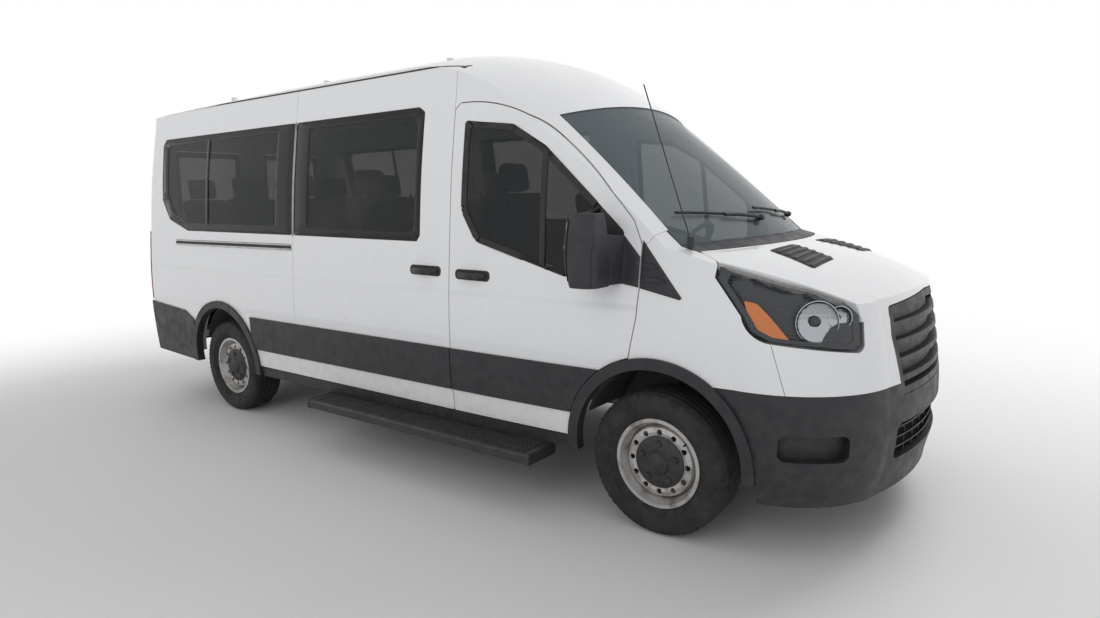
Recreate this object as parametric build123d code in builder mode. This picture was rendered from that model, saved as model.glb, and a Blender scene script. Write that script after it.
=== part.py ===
"""A long, medium-roof minibus: panel body on a frame, cab doors, rear doors, bonnet and steered wheels.

Axes: X forward, Y to the driver's left, Z up.  Origin: middle of the footprint, on the floor.
Lengths are millimetres.
"""
import os
from math import sqrt

from build123d import *

os.makedirs("parts", exist_ok=True)

# ---- driving dimensions -------------------------------------------------------------------------
LENGTH = 5981.0
HALF_WIDTH = 1030.0
FRONT_AXLE_X = 1967.5
REAR_AXLE_X = -1782.5
TRACK_FRONT = 1732.0
TRACK_REAR = 1743.0

TYRE_R = 356.0

ARCH_Z = 400.0          # centre of the arch opening, above the wheel's own centre
ARCH_R = 425.0          # wheel opening
FLARE_FOOT = 45.0       # the arch trim ends this far below the arch's centre
FLARE_R = 480.0         # outer edge of the black arch trim

DOOR_WALL = 52.0        # thickness of doors, bonnet and wings
BODY_WALL = 60.0        # outer body side, up to the door frames
FRAME_WALL = 95.0       # inner face of the door frames and pillars
SHUT_GAP = 6.0          # gap around every panel that opens
GLASS = 5.0             # thickness of a pane
TRIM_PROUD = 12.0       # black side trim stands this far off the paint
TRIM_JOINT = 2.0        # open joint between two lengths of trim

SILL_TOP_Z = 425.0      # lower edge of the painted panels
SILL_FOOT_Z = 350.0
BAND_LOW_Z = 550.0      # black side band
BAND_HIGH_Z = 790.0
DRIP_Z = 2365.0         # gutter between body side and roof
FLOOR_Z = 640.0         # top of the cabin floor
FLOOR_PLATE = 40.0

CAB_SEAM_X = 690.0      # rear edge of the cab door, front edge of the sliding door
SLIDE_SEAM_X = -800.0   # rear edge of the sliding door
CAB_DOOR_FRONT_X = 1888.0
BUMPER_TOP_Z = 780.0
WING_SEAM_X = 2565.0
REAR_SKIN_X = -2930.0
REAR_DOOR_HALF = 832.0
REAR_DOOR_LOW_Z = 622.0
REAR_DOOR_HIGH_Z = 2315.0

REACH = HALF_WIDTH + 200.0   # how far the side cutters reach from the middle

# Plan outlines of the body by height.
# height, rear end, half width behind the cab, half width at the scuttle, nose
PLAN_LEVELS = (
    (250, -2915, 985, 940, 2940),
    (430, -2925, 1012, 955, 2975),
    (600, -2930, 1022, 968, 2990.5),
    (900, -2932, 1030, 985, 2965),
    (1150, -2930, 1020, 980, 2915),
    (1400, -2924, 1000, 930, 2830),
    (1750, -2914, 966, 800, 2780),
    (2150, -2898, 907, 560, 2770),
    (2370, -2886, 877, 450, 2765),
    (2650, -2870, 832, 350, 2760),
)
TAPER_START_X = 700.0
TAPER_MID_X = 1550.0
SCUTTLE_X = 2350.0
REAR_CORNER_R = 90.0

# Side profile of roof, windscreen and bonnet, on the middle plane and at the crown's edge.
# name: (x middle, z middle, x edge, z edge)
PROFILE = {
    "roof rear": (-3000, 2482, -3000, 2280),
    "roof mid": (-1350, 2521, -1350, 2316),
    "roof front": (450, 2527, 380, 2322),
    "brow mid": (950, 2402, 830, 2205),
    "header": (1400, 2135, 1174, 1975),
    "screen mid": (1812, 1782, 1585, 1694),
    "screen foot": (2205, 1400, 1977, 1385),
    "bonnet rear": (2290, 1372, 2070, 1362),
    "bonnet mid": (2620, 1292, 2450, 1235),
    "bonnet front": (2930, 1160, 2870, 1010),
    "nose": (3120, 980, 3120, 830),
}
CROWN_EDGE_Y = 1030.0


# ---- body form ----------------------------------------------------------------------------------
def plan_form(grow):
    """Upright form of the body, made by plan outlines stacked by height and grown outwards."""
    with BuildPart() as form:
        for height, rear_x, half, half_scuttle, nose_x in PLAN_LEVELS:
            rear, side, front, nose = rear_x - grow, half + grow, half_scuttle + grow, nose_x + grow
            mid = side - 0.27 * (side - front)
            bend = REAR_CORNER_R * (1 - sqrt(0.5))
            shoulder = (nose - 250, front * 0.875)
            corner = (nose - 85, front * 0.58)
            with BuildSketch(Plane.XY.offset(height)):
                with BuildLine() as half_outline:
                    Line((rear, 0), (rear, side - REAR_CORNER_R))
                    ThreePointArc((rear, side - REAR_CORNER_R), (rear + bend, side - bend),
                                  (rear + REAR_CORNER_R, side))
                    Line((rear + REAR_CORNER_R, side), (TAPER_START_X, side))
                    ThreePointArc((TAPER_START_X, side), (TAPER_MID_X, mid), (SCUTTLE_X, front))
                    ThreePointArc((SCUTTLE_X, front), shoulder, corner)
                    ThreePointArc(corner, (nose - 21, corner[1] / 2), (nose, 0))
                    mirror(about=Plane.XZ)
                make_face()
        loft()
    return form.part


def crown_form(grow):
    """Crowned form whose top is the roof, the windscreen and the bonnet, grown outwards."""
    shift_x, shift_z = 0.6 * grow, grow
    with BuildPart() as form:
        for y, edge in ((-CROWN_EDGE_Y, True), (0, False), (CROWN_EDGE_Y, True)):
            point = {
                name: ((xe if edge else xm) + shift_x, (ze if edge else zm) + shift_z)
                for name, (xm, zm, xe, ze) in PROFILE.items()
            }
            with BuildSketch(Plane.XZ.offset(-y)):
                with BuildLine():
                    ThreePointArc(point["roof rear"], point["roof mid"], point["roof front"])
                    ThreePointArc(point["roof front"], point["brow mid"], point["header"])
                    ThreePointArc(point["header"], point["screen mid"], point["screen foot"])
                    Line(point["screen foot"], point["bonnet rear"])
                    ThreePointArc(point["bonnet rear"], point["bonnet mid"], point["bonnet front"])
                    Line(point["bonnet front"], point["nose"])
                    Polyline(point["nose"], (point["nose"][0], 100), (point["roof rear"][0], 100),
                             point["roof rear"])
                make_face()
        loft()
    return form.part


def body_form(grow):
    """The whole outer form of the body, grown outwards (or inwards, if negative)."""
    with BuildPart() as form:
        add(plan_form(grow))
        add(crown_form(grow), mode=Mode.INTERSECT)
    return form.part


def shell_between(outer, inner):
    """The wall left between an outer form and an inner one."""
    with BuildPart() as wall:
        add(outer)
        add(inner, mode=Mode.SUBTRACT)
    return wall.part


body_outside = body_form(0)
frame_inside = body_form(-FRAME_WALL)
full_wall = shell_between(body_outside, frame_inside)
skin_wall = shell_between(body_outside, body_form(-DOOR_WALL))
door_wall = shell_between(body_outside, plan_form(-DOOR_WALL))
glass_layer = shell_between(plan_form(-3), plan_form(-3 - GLASS))
trim_layer = shell_between(plan_form(TRIM_PROUD), plan_form(0))
screen_layer = shell_between(crown_form(-4), crown_form(-4 - GLASS))


# ---- outlines of the openings, drawn in the side view (X, Z) ------------------------------------
def circle_height(x, radius, axle_x):
    """Height at x of the upper half of a circle about an arch's centre."""
    return ARCH_Z + sqrt(radius**2 - (x - axle_x) ** 2)


def cab_door_outline():
    """Cab door: straight rear edge, wheel arch, front edge and the sloping windscreen pillar."""
    arch_r = FLARE_R + SHUT_GAP
    foot_x = FRONT_AXLE_X - sqrt(arch_r**2 - (SILL_TOP_Z - ARCH_Z) ** 2)
    knee_x = 1835.0
    knee = (knee_x, circle_height(knee_x, arch_r, FRONT_AXLE_X))
    mid_x = FRONT_AXLE_X - 0.82 * arch_r
    with BuildSketch() as outline:
        with BuildLine():
            Polyline((CAB_SEAM_X + SHUT_GAP / 2, 2110), (CAB_SEAM_X + SHUT_GAP / 2, SILL_TOP_Z),
                     (foot_x, SILL_TOP_Z))
            ThreePointArc((foot_x, SILL_TOP_Z), (mid_x, circle_height(mid_x, arch_r, FRONT_AXLE_X)), knee)
            Polyline(knee, (CAB_DOOR_FRONT_X - 12, 1060), (CAB_DOOR_FRONT_X, 1200),
                     (CAB_DOOR_FRONT_X, 1400), (1835, 1510))
            ThreePointArc((1835, 1510), (1610, 1733), (1350, 1945))
            ThreePointArc((1350, 1945), (1095, 2082), (730, 2140))
            Line((730, 2140), (CAB_SEAM_X + SHUT_GAP / 2, 2110))
        make_face()
    return outline.sketch


def cab_window_outline():
    """Cab door window, with its low front half for the mirror."""
    with BuildSketch() as outline:
        with BuildLine():
            FilletPolyline((775, 2045), (1100, 2005), (1310, 1885), (1790, 1462), (1828, 1240),
                           (1470, 1235), (885, 1395), (775, 1560), radius=32, close=True)
        make_face()
    return outline.sketch


def slide_door_outline():
    """Sliding door, from the sill to the gutter."""
    with BuildSketch() as outline:
        with BuildLine():
            FilletPolyline((SLIDE_SEAM_X + SHUT_GAP / 2, SILL_TOP_Z),
                           (CAB_SEAM_X - SHUT_GAP / 2, SILL_TOP_Z),
                           (CAB_SEAM_X - SHUT_GAP / 2, DRIP_Z - 8),
                           (SLIDE_SEAM_X + SHUT_GAP / 2, DRIP_Z - 8), radius=14, close=True)
        make_face()
    return outline.sketch


def slide_window_outline():
    """Front pane of the side glass, in the sliding door."""
    with BuildSketch() as outline:
        with BuildLine():
            FilletPolyline((SLIDE_SEAM_X + 9, 1400), (425, 1385), (450, 1420), (450, 2120),
                           (400, 2150), (SLIDE_SEAM_X + 9, 2150), radius=20, close=True)
        make_face()
    return outline.sketch


def quarter_window_outline():
    """Rear pane of the side glass, with its cut-off lower rear corner."""
    with BuildSketch() as outline:
        with BuildLine():
            FilletPolyline((SLIDE_SEAM_X - 9, 1400), (-2230, 1412), (-2520, 1500), (-2645, 1660),
                           (-2665, 2100), (-2620, 2150), (SLIDE_SEAM_X - 9, 2150), radius=20, close=True)
        make_face()
    return outline.sketch


def body_side_outline():
    """Everything between sill, gutter, windscreen pillar and cab door front."""
    with BuildSketch() as outline:
        with BuildLine():
            Polyline((-3100, SILL_TOP_Z), (-3100, 2320), (-2850, 2320), (-2850, DRIP_Z),
                     (CAB_SEAM_X, DRIP_Z), (1000, 2232), (1262, 2066), (1420, 2066), (2130, 1492),
                     (1985, 1488), (1915, 1404), (CAB_DOOR_FRONT_X + SHUT_GAP, 1404),
                     (CAB_DOOR_FRONT_X + SHUT_GAP, SILL_TOP_Z), close=True)
        make_face()
    return outline.sketch


def roof_outline():
    """Roof with its rear header and the brow down to the windscreen's top edge."""
    with BuildSketch() as outline:
        with BuildLine():
            Polyline((-3100, 2320), (-2850, 2320), (-2850, DRIP_Z), (CAB_SEAM_X, DRIP_Z), (1000, 2232),
                     (1262, 2066), (1600, 2066), (1600, 2700), (-3100, 2700), close=True)
        make_face()
    return outline.sketch


def wing_outline():
    """Front wing, from the cab door to the lamp and the bumper."""
    seam_x = CAB_DOOR_FRONT_X + SHUT_GAP
    with BuildSketch() as outline:
        with BuildLine():
            Polyline((1848, 700), (1848, 900), (seam_x - 12, 1060), (seam_x, 1200), (seam_x, 1402),
                     (1915, 1402), (1987, 1486), (2400, 1486), (2840, 1200), (2500, 1010),
                     (WING_SEAM_X, BUMPER_TOP_Z + 2), (2150, BUMPER_TOP_Z + 2), (2150, 700), close=True)
        make_face()
    return outline.sketch


def nose_outline():
    """Painted nose between the wings, above the bumper."""
    with BuildSketch() as outline:
        with BuildLine():
            Polyline((WING_SEAM_X + 3, BUMPER_TOP_Z + 2), (2503, 1010), (2844, 1202), (3100, 1202),
                     (3100, BUMPER_TOP_Z + 2), close=True)
        make_face()
    return outline.sketch


def bumper_outline():
    """Front bumper, from the front arch to the nose."""
    with BuildSketch() as outline:
        with BuildLine():
            Polyline((2200, 270), (2200, BUMPER_TOP_Z), (3100, BUMPER_TOP_Z), (3100, 270), close=True)
        make_face()
    return outline.sketch


def rear_corner_outline():
    """Side of the rear bumper, from the rear arch round the corner."""
    with BuildSketch() as outline:
        with BuildLine():
            Polyline((-3100, 400), (-2200, 355), (-2200, 700), (-2330, 765), (-2850, 805), (-3100, 808),
                     close=True)
        make_face()
    return outline.sketch


def side_cutter(outline, grow=0.0):
    """Prism that cuts the right-hand side of the body to an outline of the side view."""
    with BuildPart() as cutter:
        with BuildSketch(Plane.XZ):
            add(outline())
            if grow:
                offset(amount=grow, kind=Kind.INTERSECTION)
        extrude(amount=REACH)
    return cutter.part


def wheel_cutter(radius, axle_x):
    """Round cutter for the right-hand wheel opening, open below the arch's centre."""
    with BuildPart() as cutter:
        with BuildSketch(Plane.XZ):
            with Locations((axle_x, ARCH_Z)):
                Circle(radius)
            with Locations((axle_x, ARCH_Z - 200)):
                Rectangle(2 * radius, 400)
        extrude(amount=REACH)
    return cutter.part


def bonnet_cutter(grow=0.0):
    """Upright prism on the bonnet's plan outline."""
    with BuildPart() as cutter:
        with BuildSketch(Plane.XY.offset(1080)):
            with BuildLine():
                ThreePointArc((2128, 850), (2284, 0), (2128, -850))
                Polyline((2128, -850), (2245, -915), (2800, -700))
                ThreePointArc((2800, -700), (3000, 0), (2800, 700))
                Polyline((2800, 700), (2245, 915), (2128, 850))
            make_face()
            if grow:
                offset(amount=grow, kind=Kind.INTERSECTION)
        extrude(amount=500)
    return cutter.part


def screen_cutter(grow=0.0):
    """Windscreen outline in the front view, pushed back through the body."""
    with BuildPart() as cutter:
        with BuildSketch(Plane.YZ.offset(1000)):
            with BuildLine():
                ThreePointArc((-752, 2046), (0, 2128), (752, 2046))
                Line((752, 2046), (862, 1398))
                ThreePointArc((862, 1398), (0, 1410), (-862, 1398))
                Line((-862, 1398), (-752, 2046))
            make_face()
            if grow:
                offset(amount=grow, kind=Kind.INTERSECTION)
        extrude(amount=1400)
    return cutter.part


def rear_portal_cutter(low, high, inner, outer):
    """Box cutter for a rear door leaf or its opening, on the right, to behind the door frame."""
    with BuildPart() as cutter:
        with BuildSketch(Plane.YZ.offset(-3100)):
            with Locations((-(inner + outer) / 2, (low + high) / 2)):
                RectangleRounded(outer - inner, high - low, 30)
        extrude(amount=300)
    return cutter.part


LAMP_PLANE = Plane(origin=(2600, -880, 1100), x_dir=(0.8, 0.6, 0), z_dir=(0.6, -0.8, 0))


def lamp_cutter(grow=0.0):
    """Right headlamp outline, drawn on a plane that faces its corner of the nose."""
    with BuildPart() as cutter:
        with BuildSketch(LAMP_PLANE.offset(-200)):
            with BuildLine():
                Polyline((-312, 250), (-330, 168), (-238, 10))
                ThreePointArc((-238, 10), (-205, -62), (-140, -98))
                Line((-140, -98), (225, -140))
                ThreePointArc((225, -140), (258, -132), (268, -100))
                Polyline((268, -100), (268, 250), (-312, 250))
            make_face()
            if grow:
                offset(amount=grow, kind=Kind.INTERSECTION)
        extrude(amount=500)
    return cutter.part


def grille_cutter(shrink=0.0):
    """Grille outline in the front view."""
    with BuildPart() as cutter:
        with BuildSketch(Plane.YZ.offset(2700)):
            with BuildLine():
                FilletPolyline((-500, 1122), (-520, 1000), (-460, 725), (460, 725), (520, 1000),
                               (500, 1122), (0, 1150), radius=18, close=True)
            make_face()
            if shrink:
                offset(amount=-shrink, kind=Kind.INTERSECTION)
        extrude(amount=500)
    return cutter.part


def publish(part, name):
    """Label one finished piece and write its file."""
    part.label = name
    export_step(part, f"parts/{name}.step")


def publish_pair(right_part, name):
    """Write a right-hand piece and its mirror image on the left."""
    publish(right_part, f"{name}_right")
    with BuildPart() as left:
        mirror(right_part, about=Plane.XZ)
    publish(left.part, f"{name}_left")


# ---- body side: pillars, door frames, rear quarter ----------------------------------------------
cab_opening = side_cutter(cab_door_outline, SHUT_GAP)
cab_frame_opening = side_cutter(cab_door_outline, -34)
slide_opening = side_cutter(slide_door_outline, SHUT_GAP / 2)
rear_opening = rear_portal_cutter(REAR_DOOR_LOW_Z - SHUT_GAP, REAR_DOOR_HIGH_Z + SHUT_GAP, -20,
                                  REAR_DOOR_HALF + SHUT_GAP)
rear_frame_opening = rear_portal_cutter(REAR_DOOR_LOW_Z + 20, REAR_DOOR_HIGH_Z - 30, -20,
                                        REAR_DOOR_HALF - 32)
front_wheel_opening = wheel_cutter(FLARE_R, FRONT_AXLE_X)
rear_wheel_opening = wheel_cutter(FLARE_R, REAR_AXLE_X)
TAIL_LAMP_LOW_Z, TAIL_LAMP_HIGH_Z = 822.0, 1400.0

with BuildPart() as tail_lamp_space:
    with BuildSketch(Plane.YZ.offset(-3100)):
        with Locations((-(REAR_DOOR_HALF + 14 + REACH) / 2, (TAIL_LAMP_LOW_Z + TAIL_LAMP_HIGH_Z) / 2)):
            Rectangle(REACH - REAR_DOOR_HALF - 14, TAIL_LAMP_HIGH_Z - TAIL_LAMP_LOW_Z)
    extrude(amount=225)

body_inside = body_form(-BODY_WALL)


def rebate(cutter):
    """The space a door fills: its prism outside the face of the door frame."""
    with BuildPart() as space:
        add(cutter)
        add(body_inside, mode=Mode.SUBTRACT)
    return space.part


def half_shell():
    """Right half of the body side, pillars included, with the openings both sides share."""
    with BuildPart() as half:
        add(full_wall)
        add(side_cutter(body_side_outline), mode=Mode.INTERSECT)
        add([rebate(cab_opening), cab_frame_opening, rebate(rear_opening), rear_frame_opening,
             front_wheel_opening, rear_wheel_opening, rebate(side_cutter(wing_outline, 1)),
             screen_cutter(3), tail_lamp_space.part,
             rebate(side_cutter(quarter_window_outline)), side_cutter(quarter_window_outline, -30)],
            mode=Mode.SUBTRACT)
    return half.part


plain_half = half_shell()

with BuildPart() as body_side_right:
    add(plain_half)
    add([rebate(slide_opening), side_cutter(slide_door_outline, -34)], mode=Mode.SUBTRACT)
publish(body_side_right.part, "body_side_right")

with BuildPart() as plain_side:
    add(plain_half)
    add([rebate(side_cutter(slide_window_outline)), side_cutter(slide_window_outline, -30)],
        mode=Mode.SUBTRACT)
with BuildPart() as body_side_left:
    mirror(plain_side.part, about=Plane.XZ)
publish(body_side_left.part, "body_side_left")

# ---- roof ---------------------------------------------------------------------------------------
ROOF_PAD_X = (-2000.0, -800.0, 400.0)
ROOF_PAD_Y = 640.0
ROOF_PAD_TOP_Z = 2455.0
ROOF_PAD_R = 22.0
ROOF_PAD_HOLE_R = 4.0

with BuildPart() as roof_panel:
    for sense in (0, 1):
        with BuildSketch(Plane.XZ):
            add(roof_outline())
        extrude(amount=REACH * (1 - 2 * sense))
    add(full_wall, mode=Mode.INTERSECT)
    add(screen_cutter(3), mode=Mode.SUBTRACT)
    for side in (-1, 1):
        with Locations(*[(x, side * ROOF_PAD_Y, ROOF_PAD_TOP_Z) for x in ROOF_PAD_X]):
            Cylinder(ROOF_PAD_R, 60, align=(Align.CENTER, Align.CENTER, Align.MAX))
            Cylinder(ROOF_PAD_HOLE_R, 25, align=(Align.CENTER, Align.CENTER, Align.MAX),
                     mode=Mode.SUBTRACT)
publish(roof_panel.part, "roof_panel")

# ---- doors --------------------------------------------------------------------------------------
def cut_panel(wall, prism, spaces=()):
    """One panel of a wall: what lies inside a prism, cut by the spaces, in one piece."""
    with BuildPart() as panel:
        add(wall)
        add(prism, mode=Mode.INTERSECT)
        if spaces:
            add(list(spaces), mode=Mode.SUBTRACT)
    return panel.part.solids().sort_by(SortBy.VOLUME)[-1]


cab_window = side_cutter(cab_window_outline)
slide_window = side_cutter(slide_window_outline)
cab_door_prism = side_cutter(cab_door_outline)
publish_pair(cut_panel(door_wall, cab_door_prism, [cab_window]), "cab_door")
SAIL_X = 1655.0          # the fixed black panel in front of the cab window starts here
with BuildPart() as sail_space:
    with Locations((SAIL_X, 0, 1000)):
        Box(600, REACH, 800, align=(Align.MIN, Align.MAX, Align.MIN))
cab_pane_prism = side_cutter(cab_window_outline, -1)
publish_pair(cut_panel(glass_layer, cab_pane_prism, [sail_space.part]), "cab_door_window")

publish(cut_panel(door_wall, side_cutter(slide_door_outline), [slide_window]), "sliding_door")

REAR_WINDOW_LOW_Z, REAR_WINDOW_HIGH_Z = 1390.0, 2080.0
rear_window = rear_portal_cutter(REAR_WINDOW_LOW_Z, REAR_WINDOW_HIGH_Z, 110, 735)
rear_leaf_prism = rear_portal_cutter(REAR_DOOR_LOW_Z, REAR_DOOR_HIGH_Z, 3, REAR_DOOR_HALF)
LEAF_EDGE_X = REAR_SKIN_X + 68   # the leaf's hinge edge goes no deeper, so that it clears the frame
LEAF_EDGE_W = 42.0
with BuildPart() as leaf_edge_space:
    with Locations((LEAF_EDGE_X, LEAF_EDGE_W - REAR_DOOR_HALF, REAR_DOOR_LOW_Z - SHUT_GAP)):
        Box(120, 100, 1800, align=(Align.MIN, Align.MAX, Align.MIN))
publish_pair(cut_panel(door_wall, rear_leaf_prism, [rear_window, leaf_edge_space.part]), "rear_door")
publish_pair(cut_panel(glass_layer, rear_portal_cutter(REAR_WINDOW_LOW_Z + 1, REAR_WINDOW_HIGH_Z - 1,
                                                       111, 734)), "rear_door_window")

# ---- fixed glass --------------------------------------------------------------------------------
with BuildPart() as side_windows_right:
    add(cut_panel(glass_layer, side_cutter(slide_window_outline, -1)))
    add(cut_panel(glass_layer, side_cutter(quarter_window_outline, -1)))
publish(side_windows_right.part, "side_windows_right")
with BuildPart() as side_windows_left:
    mirror(side_windows_right.part, about=Plane.XZ)
publish(side_windows_left.part, "side_windows_left")
publish(cut_panel(screen_layer, screen_cutter(1)), "windscreen")

# ---- bonnet, wings, nose ------------------------------------------------------------------------
BONNET_WALL = 30.0
bonnet_wall = shell_between(body_outside, body_form(-BONNET_WALL))
bonnet_opening = bonnet_cutter(SHUT_GAP)
with BuildPart() as bonnet:
    add(bonnet_wall)
    add(bonnet_cutter(), mode=Mode.INTERSECT)
    add([grille_cutter(-SHUT_GAP), screen_cutter(30)], mode=Mode.SUBTRACT)
publish(bonnet.part, "bonnet")

with BuildPart() as cowl_space:
    with BuildSketch(Plane.XY.offset(1290)):
        Polygon((1960, -870), (2330, -870), (2330, 870), (1960, 870), align=None)
    extrude(amount=170)
body_side_prism = side_cutter(body_side_outline, SHUT_GAP)
publish(cut_panel(bonnet_wall, cowl_space.part, [bonnet_opening, screen_cutter(2), body_side_prism,
                                                 body_side_prism.mirror(Plane.XZ)]), "cowl_panel")

lamp_opening = lamp_cutter(2)
with BuildPart() as lamp_sky:
    with Locations((2600, 0, 1500)):
        Box(1200, 2400, 1000)
    add(crown_form(-2), mode=Mode.SUBTRACT)
wing = cut_panel(skin_wall, side_cutter(wing_outline),
                 [bonnet_opening, lamp_opening, front_wheel_opening, cowl_space.part,
                  screen_cutter(3)])
nose = cut_panel(skin_wall, side_cutter(nose_outline),
                 [bonnet_opening, lamp_opening, grille_cutter(-2)])
lamp = cut_panel(shell_between(plan_form(-2), plan_form(-BODY_WALL)), lamp_cutter(),
                 [bonnet_opening, lamp_sky.part])
for name, right_part in (("front_wings", wing), ("nose_panels", nose), ("headlamps", lamp)):
    with BuildPart() as both_sides:
        add(right_part)
        mirror(right_part, about=Plane.XZ)
    publish(both_sides.part, name)

# ---- grille -------------------------------------------------------------------------------------
GRILLE_BARS_Z = (800, 880, 960, 1040)
GRILLE_BAR_H = 26.0
GRILLE_RIM = 34.0        # width of the frame round the bars
GRILLE_DEPTH = 36.0      # from the outer skin to the closed back of the gaps
grille_wall = shell_between(plan_form(-2), plan_form(-44))
with BuildPart() as gaps_between_bars:
    add(grille_cutter(GRILLE_RIM))
    with Locations(*[(2950, 0, z) for z in GRILLE_BARS_Z]):
        Box(600, 1100, GRILLE_BAR_H, mode=Mode.SUBTRACT)
    add(plan_form(-GRILLE_DEPTH), mode=Mode.SUBTRACT)
with BuildPart() as grille:
    add(grille_wall)
    add(grille_cutter(), mode=Mode.INTERSECT)
    add(gaps_between_bars.part, mode=Mode.SUBTRACT)
publish(grille.part, "grille")

# ---- front bumper -------------------------------------------------------------------------------
bumper_prism = side_cutter(bumper_outline)
LOW_GRILLE_Z = (430.0, 600.0)
FOG_CENTRE = (60.0, -555.0)      # on the lamp plane: along the bumper, up from its origin
with BuildPart() as fog_recess:
    with BuildSketch(LAMP_PLANE.offset(-60)):
        with Locations(FOG_CENTRE):
            RectangleRounded(300, 120, 34)
    extrude(amount=260)
with BuildPart() as fog_pocket:
    with BuildSketch(LAMP_PLANE.offset(-150)):
        with Locations(FOG_CENTRE):
            RectangleRounded(330, 150, 40)
    extrude(amount=350)
with BuildPart() as bumper_half:
    add(shell_between(plan_form(0), plan_form(-40)))
    add(bumper_prism, mode=Mode.INTERSECT)
    add([front_wheel_opening, grille_cutter(-2), fog_recess.part], mode=Mode.SUBTRACT)
fog_back = cut_panel(shell_between(plan_form(-40), plan_form(-58)), fog_pocket.part)
with BuildPart() as front_bumper:
    add([bumper_half.part, fog_back])
    mirror(about=Plane.XZ)
    with BuildSketch(Plane.YZ.offset(2700)):
        with Locations((0, sum(LOW_GRILLE_Z) / 2)):
            RectangleRounded(1000, LOW_GRILLE_Z[1] - LOW_GRILLE_Z[0], 40)
    extrude(amount=500, mode=Mode.SUBTRACT)
publish(front_bumper.part, "front_bumper")

# ---- black side trim: band, flares and sill -----------------------------------------------------
band_rear_x = REAR_AXLE_X + FLARE_R
with BuildPart() as band_prism:
    with BuildSketch(Plane.XZ):
        with Locations(((band_rear_x - 60 + CAB_SEAM_X - SHUT_GAP / 2) / 2,
                        (BAND_LOW_Z + BAND_HIGH_Z) / 2)):
            Rectangle(CAB_SEAM_X - SHUT_GAP / 2 - band_rear_x + 60, BAND_HIGH_Z - BAND_LOW_Z)
    extrude(amount=REACH)


def arch_annulus(axle_x):
    """Prism on the ring between wheel opening and arch trim, cut off at the foot."""
    with BuildPart() as annulus:
        with BuildSketch(Plane.XZ):
            with Locations((axle_x, ARCH_Z)):
                Circle(FLARE_R)
                Circle(ARCH_R, mode=Mode.SUBTRACT)
            with Locations((axle_x, ARCH_Z - FLARE_R / 2 - FLARE_FOOT)):
                Rectangle(2 * FLARE_R, FLARE_R, mode=Mode.SUBTRACT)
        extrude(amount=REACH)
    return annulus.part


def flare_ring(axle_x):
    """Arch trim of one right-hand wheel."""
    with BuildPart() as ring:
        add(flare_wall)
        add(arch_annulus(axle_x), mode=Mode.INTERSECT)
    return ring.part


flare_wall = shell_between(plan_form(TRIM_PROUD + 4), plan_form(-40))
sill_wall = shell_between(plan_form(-6), plan_form(-80))
with BuildPart() as sill_prism:
    with BuildSketch(Plane.XZ):
        with Locations(((band_rear_x + FRONT_AXLE_X - FLARE_R) / 2,
                        (SILL_FOOT_Z + SILL_TOP_Z - SHUT_GAP) / 2)):
            Rectangle(FRONT_AXLE_X - FLARE_R - band_rear_x - 2 * TRIM_JOINT,
                      SILL_TOP_Z - SHUT_GAP - SILL_FOOT_Z)
    extrude(amount=REACH)
past_arches = [wheel_cutter(FLARE_R + TRIM_JOINT, axle_x) for axle_x in (FRONT_AXLE_X, REAR_AXLE_X)]
band = cut_panel(trim_layer, band_prism.part, past_arches)
sill = cut_panel(sill_wall, sill_prism.part)
trim_pieces = [band, sill, flare_ring(FRONT_AXLE_X), flare_ring(REAR_AXLE_X)]
with BuildPart() as side_trim:
    add(trim_pieces, clean=False)
    add([piece.mirror(Plane.XZ) for piece in trim_pieces], clean=False)
publish(side_trim.part, "side_trim")

# ---- rear bumper and tail lamps -----------------------------------------------------------------
rear_corner = cut_panel(trim_layer, side_cutter(rear_corner_outline),
                        [past_arches[1], rear_portal_cutter(REAR_DOOR_LOW_Z - SHUT_GAP, 900, -20,
                                                            REAR_DOOR_HALF + SHUT_GAP)])
with BuildPart() as rear_bumper:
    add(rear_corner)
    mirror(rear_corner, about=Plane.XZ)
    with Locations((-LENGTH / 2, 0, 500)):
        Box(60, 1720, 200, align=(Align.MIN, Align.CENTER, Align.CENTER))
publish(rear_bumper.part, "rear_bumper")

with BuildPart() as tail_lamp_prism:
    with BuildSketch(Plane.YZ.offset(-3100)):
        with Locations((-(REAR_DOOR_HALF + 16 + REACH) / 2, (TAIL_LAMP_LOW_Z + TAIL_LAMP_HIGH_Z) / 2)):
            Rectangle(REACH - REAR_DOOR_HALF - 16, TAIL_LAMP_HIGH_Z - TAIL_LAMP_LOW_Z - 4)
    extrude(amount=223)
tail_lamp = cut_panel(shell_between(plan_form(5), plan_form(-50)), tail_lamp_prism.part)
with BuildPart() as tail_lamps:
    add(tail_lamp)
    mirror(tail_lamp, about=Plane.XZ)
publish(tail_lamps.part, "tail_lamps")

# ---- cab door trim: mirror, sail panel and the band's front end ---------------------------------
cab_band = cut_panel(trim_layer, cab_door_prism)
sail_panel = cut_panel(cut_panel(door_wall, cab_pane_prism), sail_space.part)
with BuildPart() as band_box:
    with BuildSketch(Plane.XZ):
        with Locations((1300, (BAND_LOW_Z + BAND_HIGH_Z) / 2)):
            Rectangle(1400, BAND_HIGH_Z - BAND_LOW_Z)
    extrude(amount=REACH)
with BuildPart() as cab_door_trim:
    add(cab_band)
    add(band_box.part, mode=Mode.INTERSECT)
    add(sail_panel)
    with BuildSketch(Plane.XY.offset(1215)):
        with Locations((1715, -1145)):
            RectangleRounded(150, 180, 55)
    with BuildSketch(Plane.XY.offset(1380)):
        with Locations((1700, -1140)):
            RectangleRounded(175, 192, 60)
    with BuildSketch(Plane.XY.offset(1548)):
        with Locations((1690, -1125)):
            RectangleRounded(140, 150, 50)
    loft()
    with Locations((1735, -1010, 1290)):
        Box(70, 130, 60)
publish_pair(cab_door_trim.part, "cab_door_trim")

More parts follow.
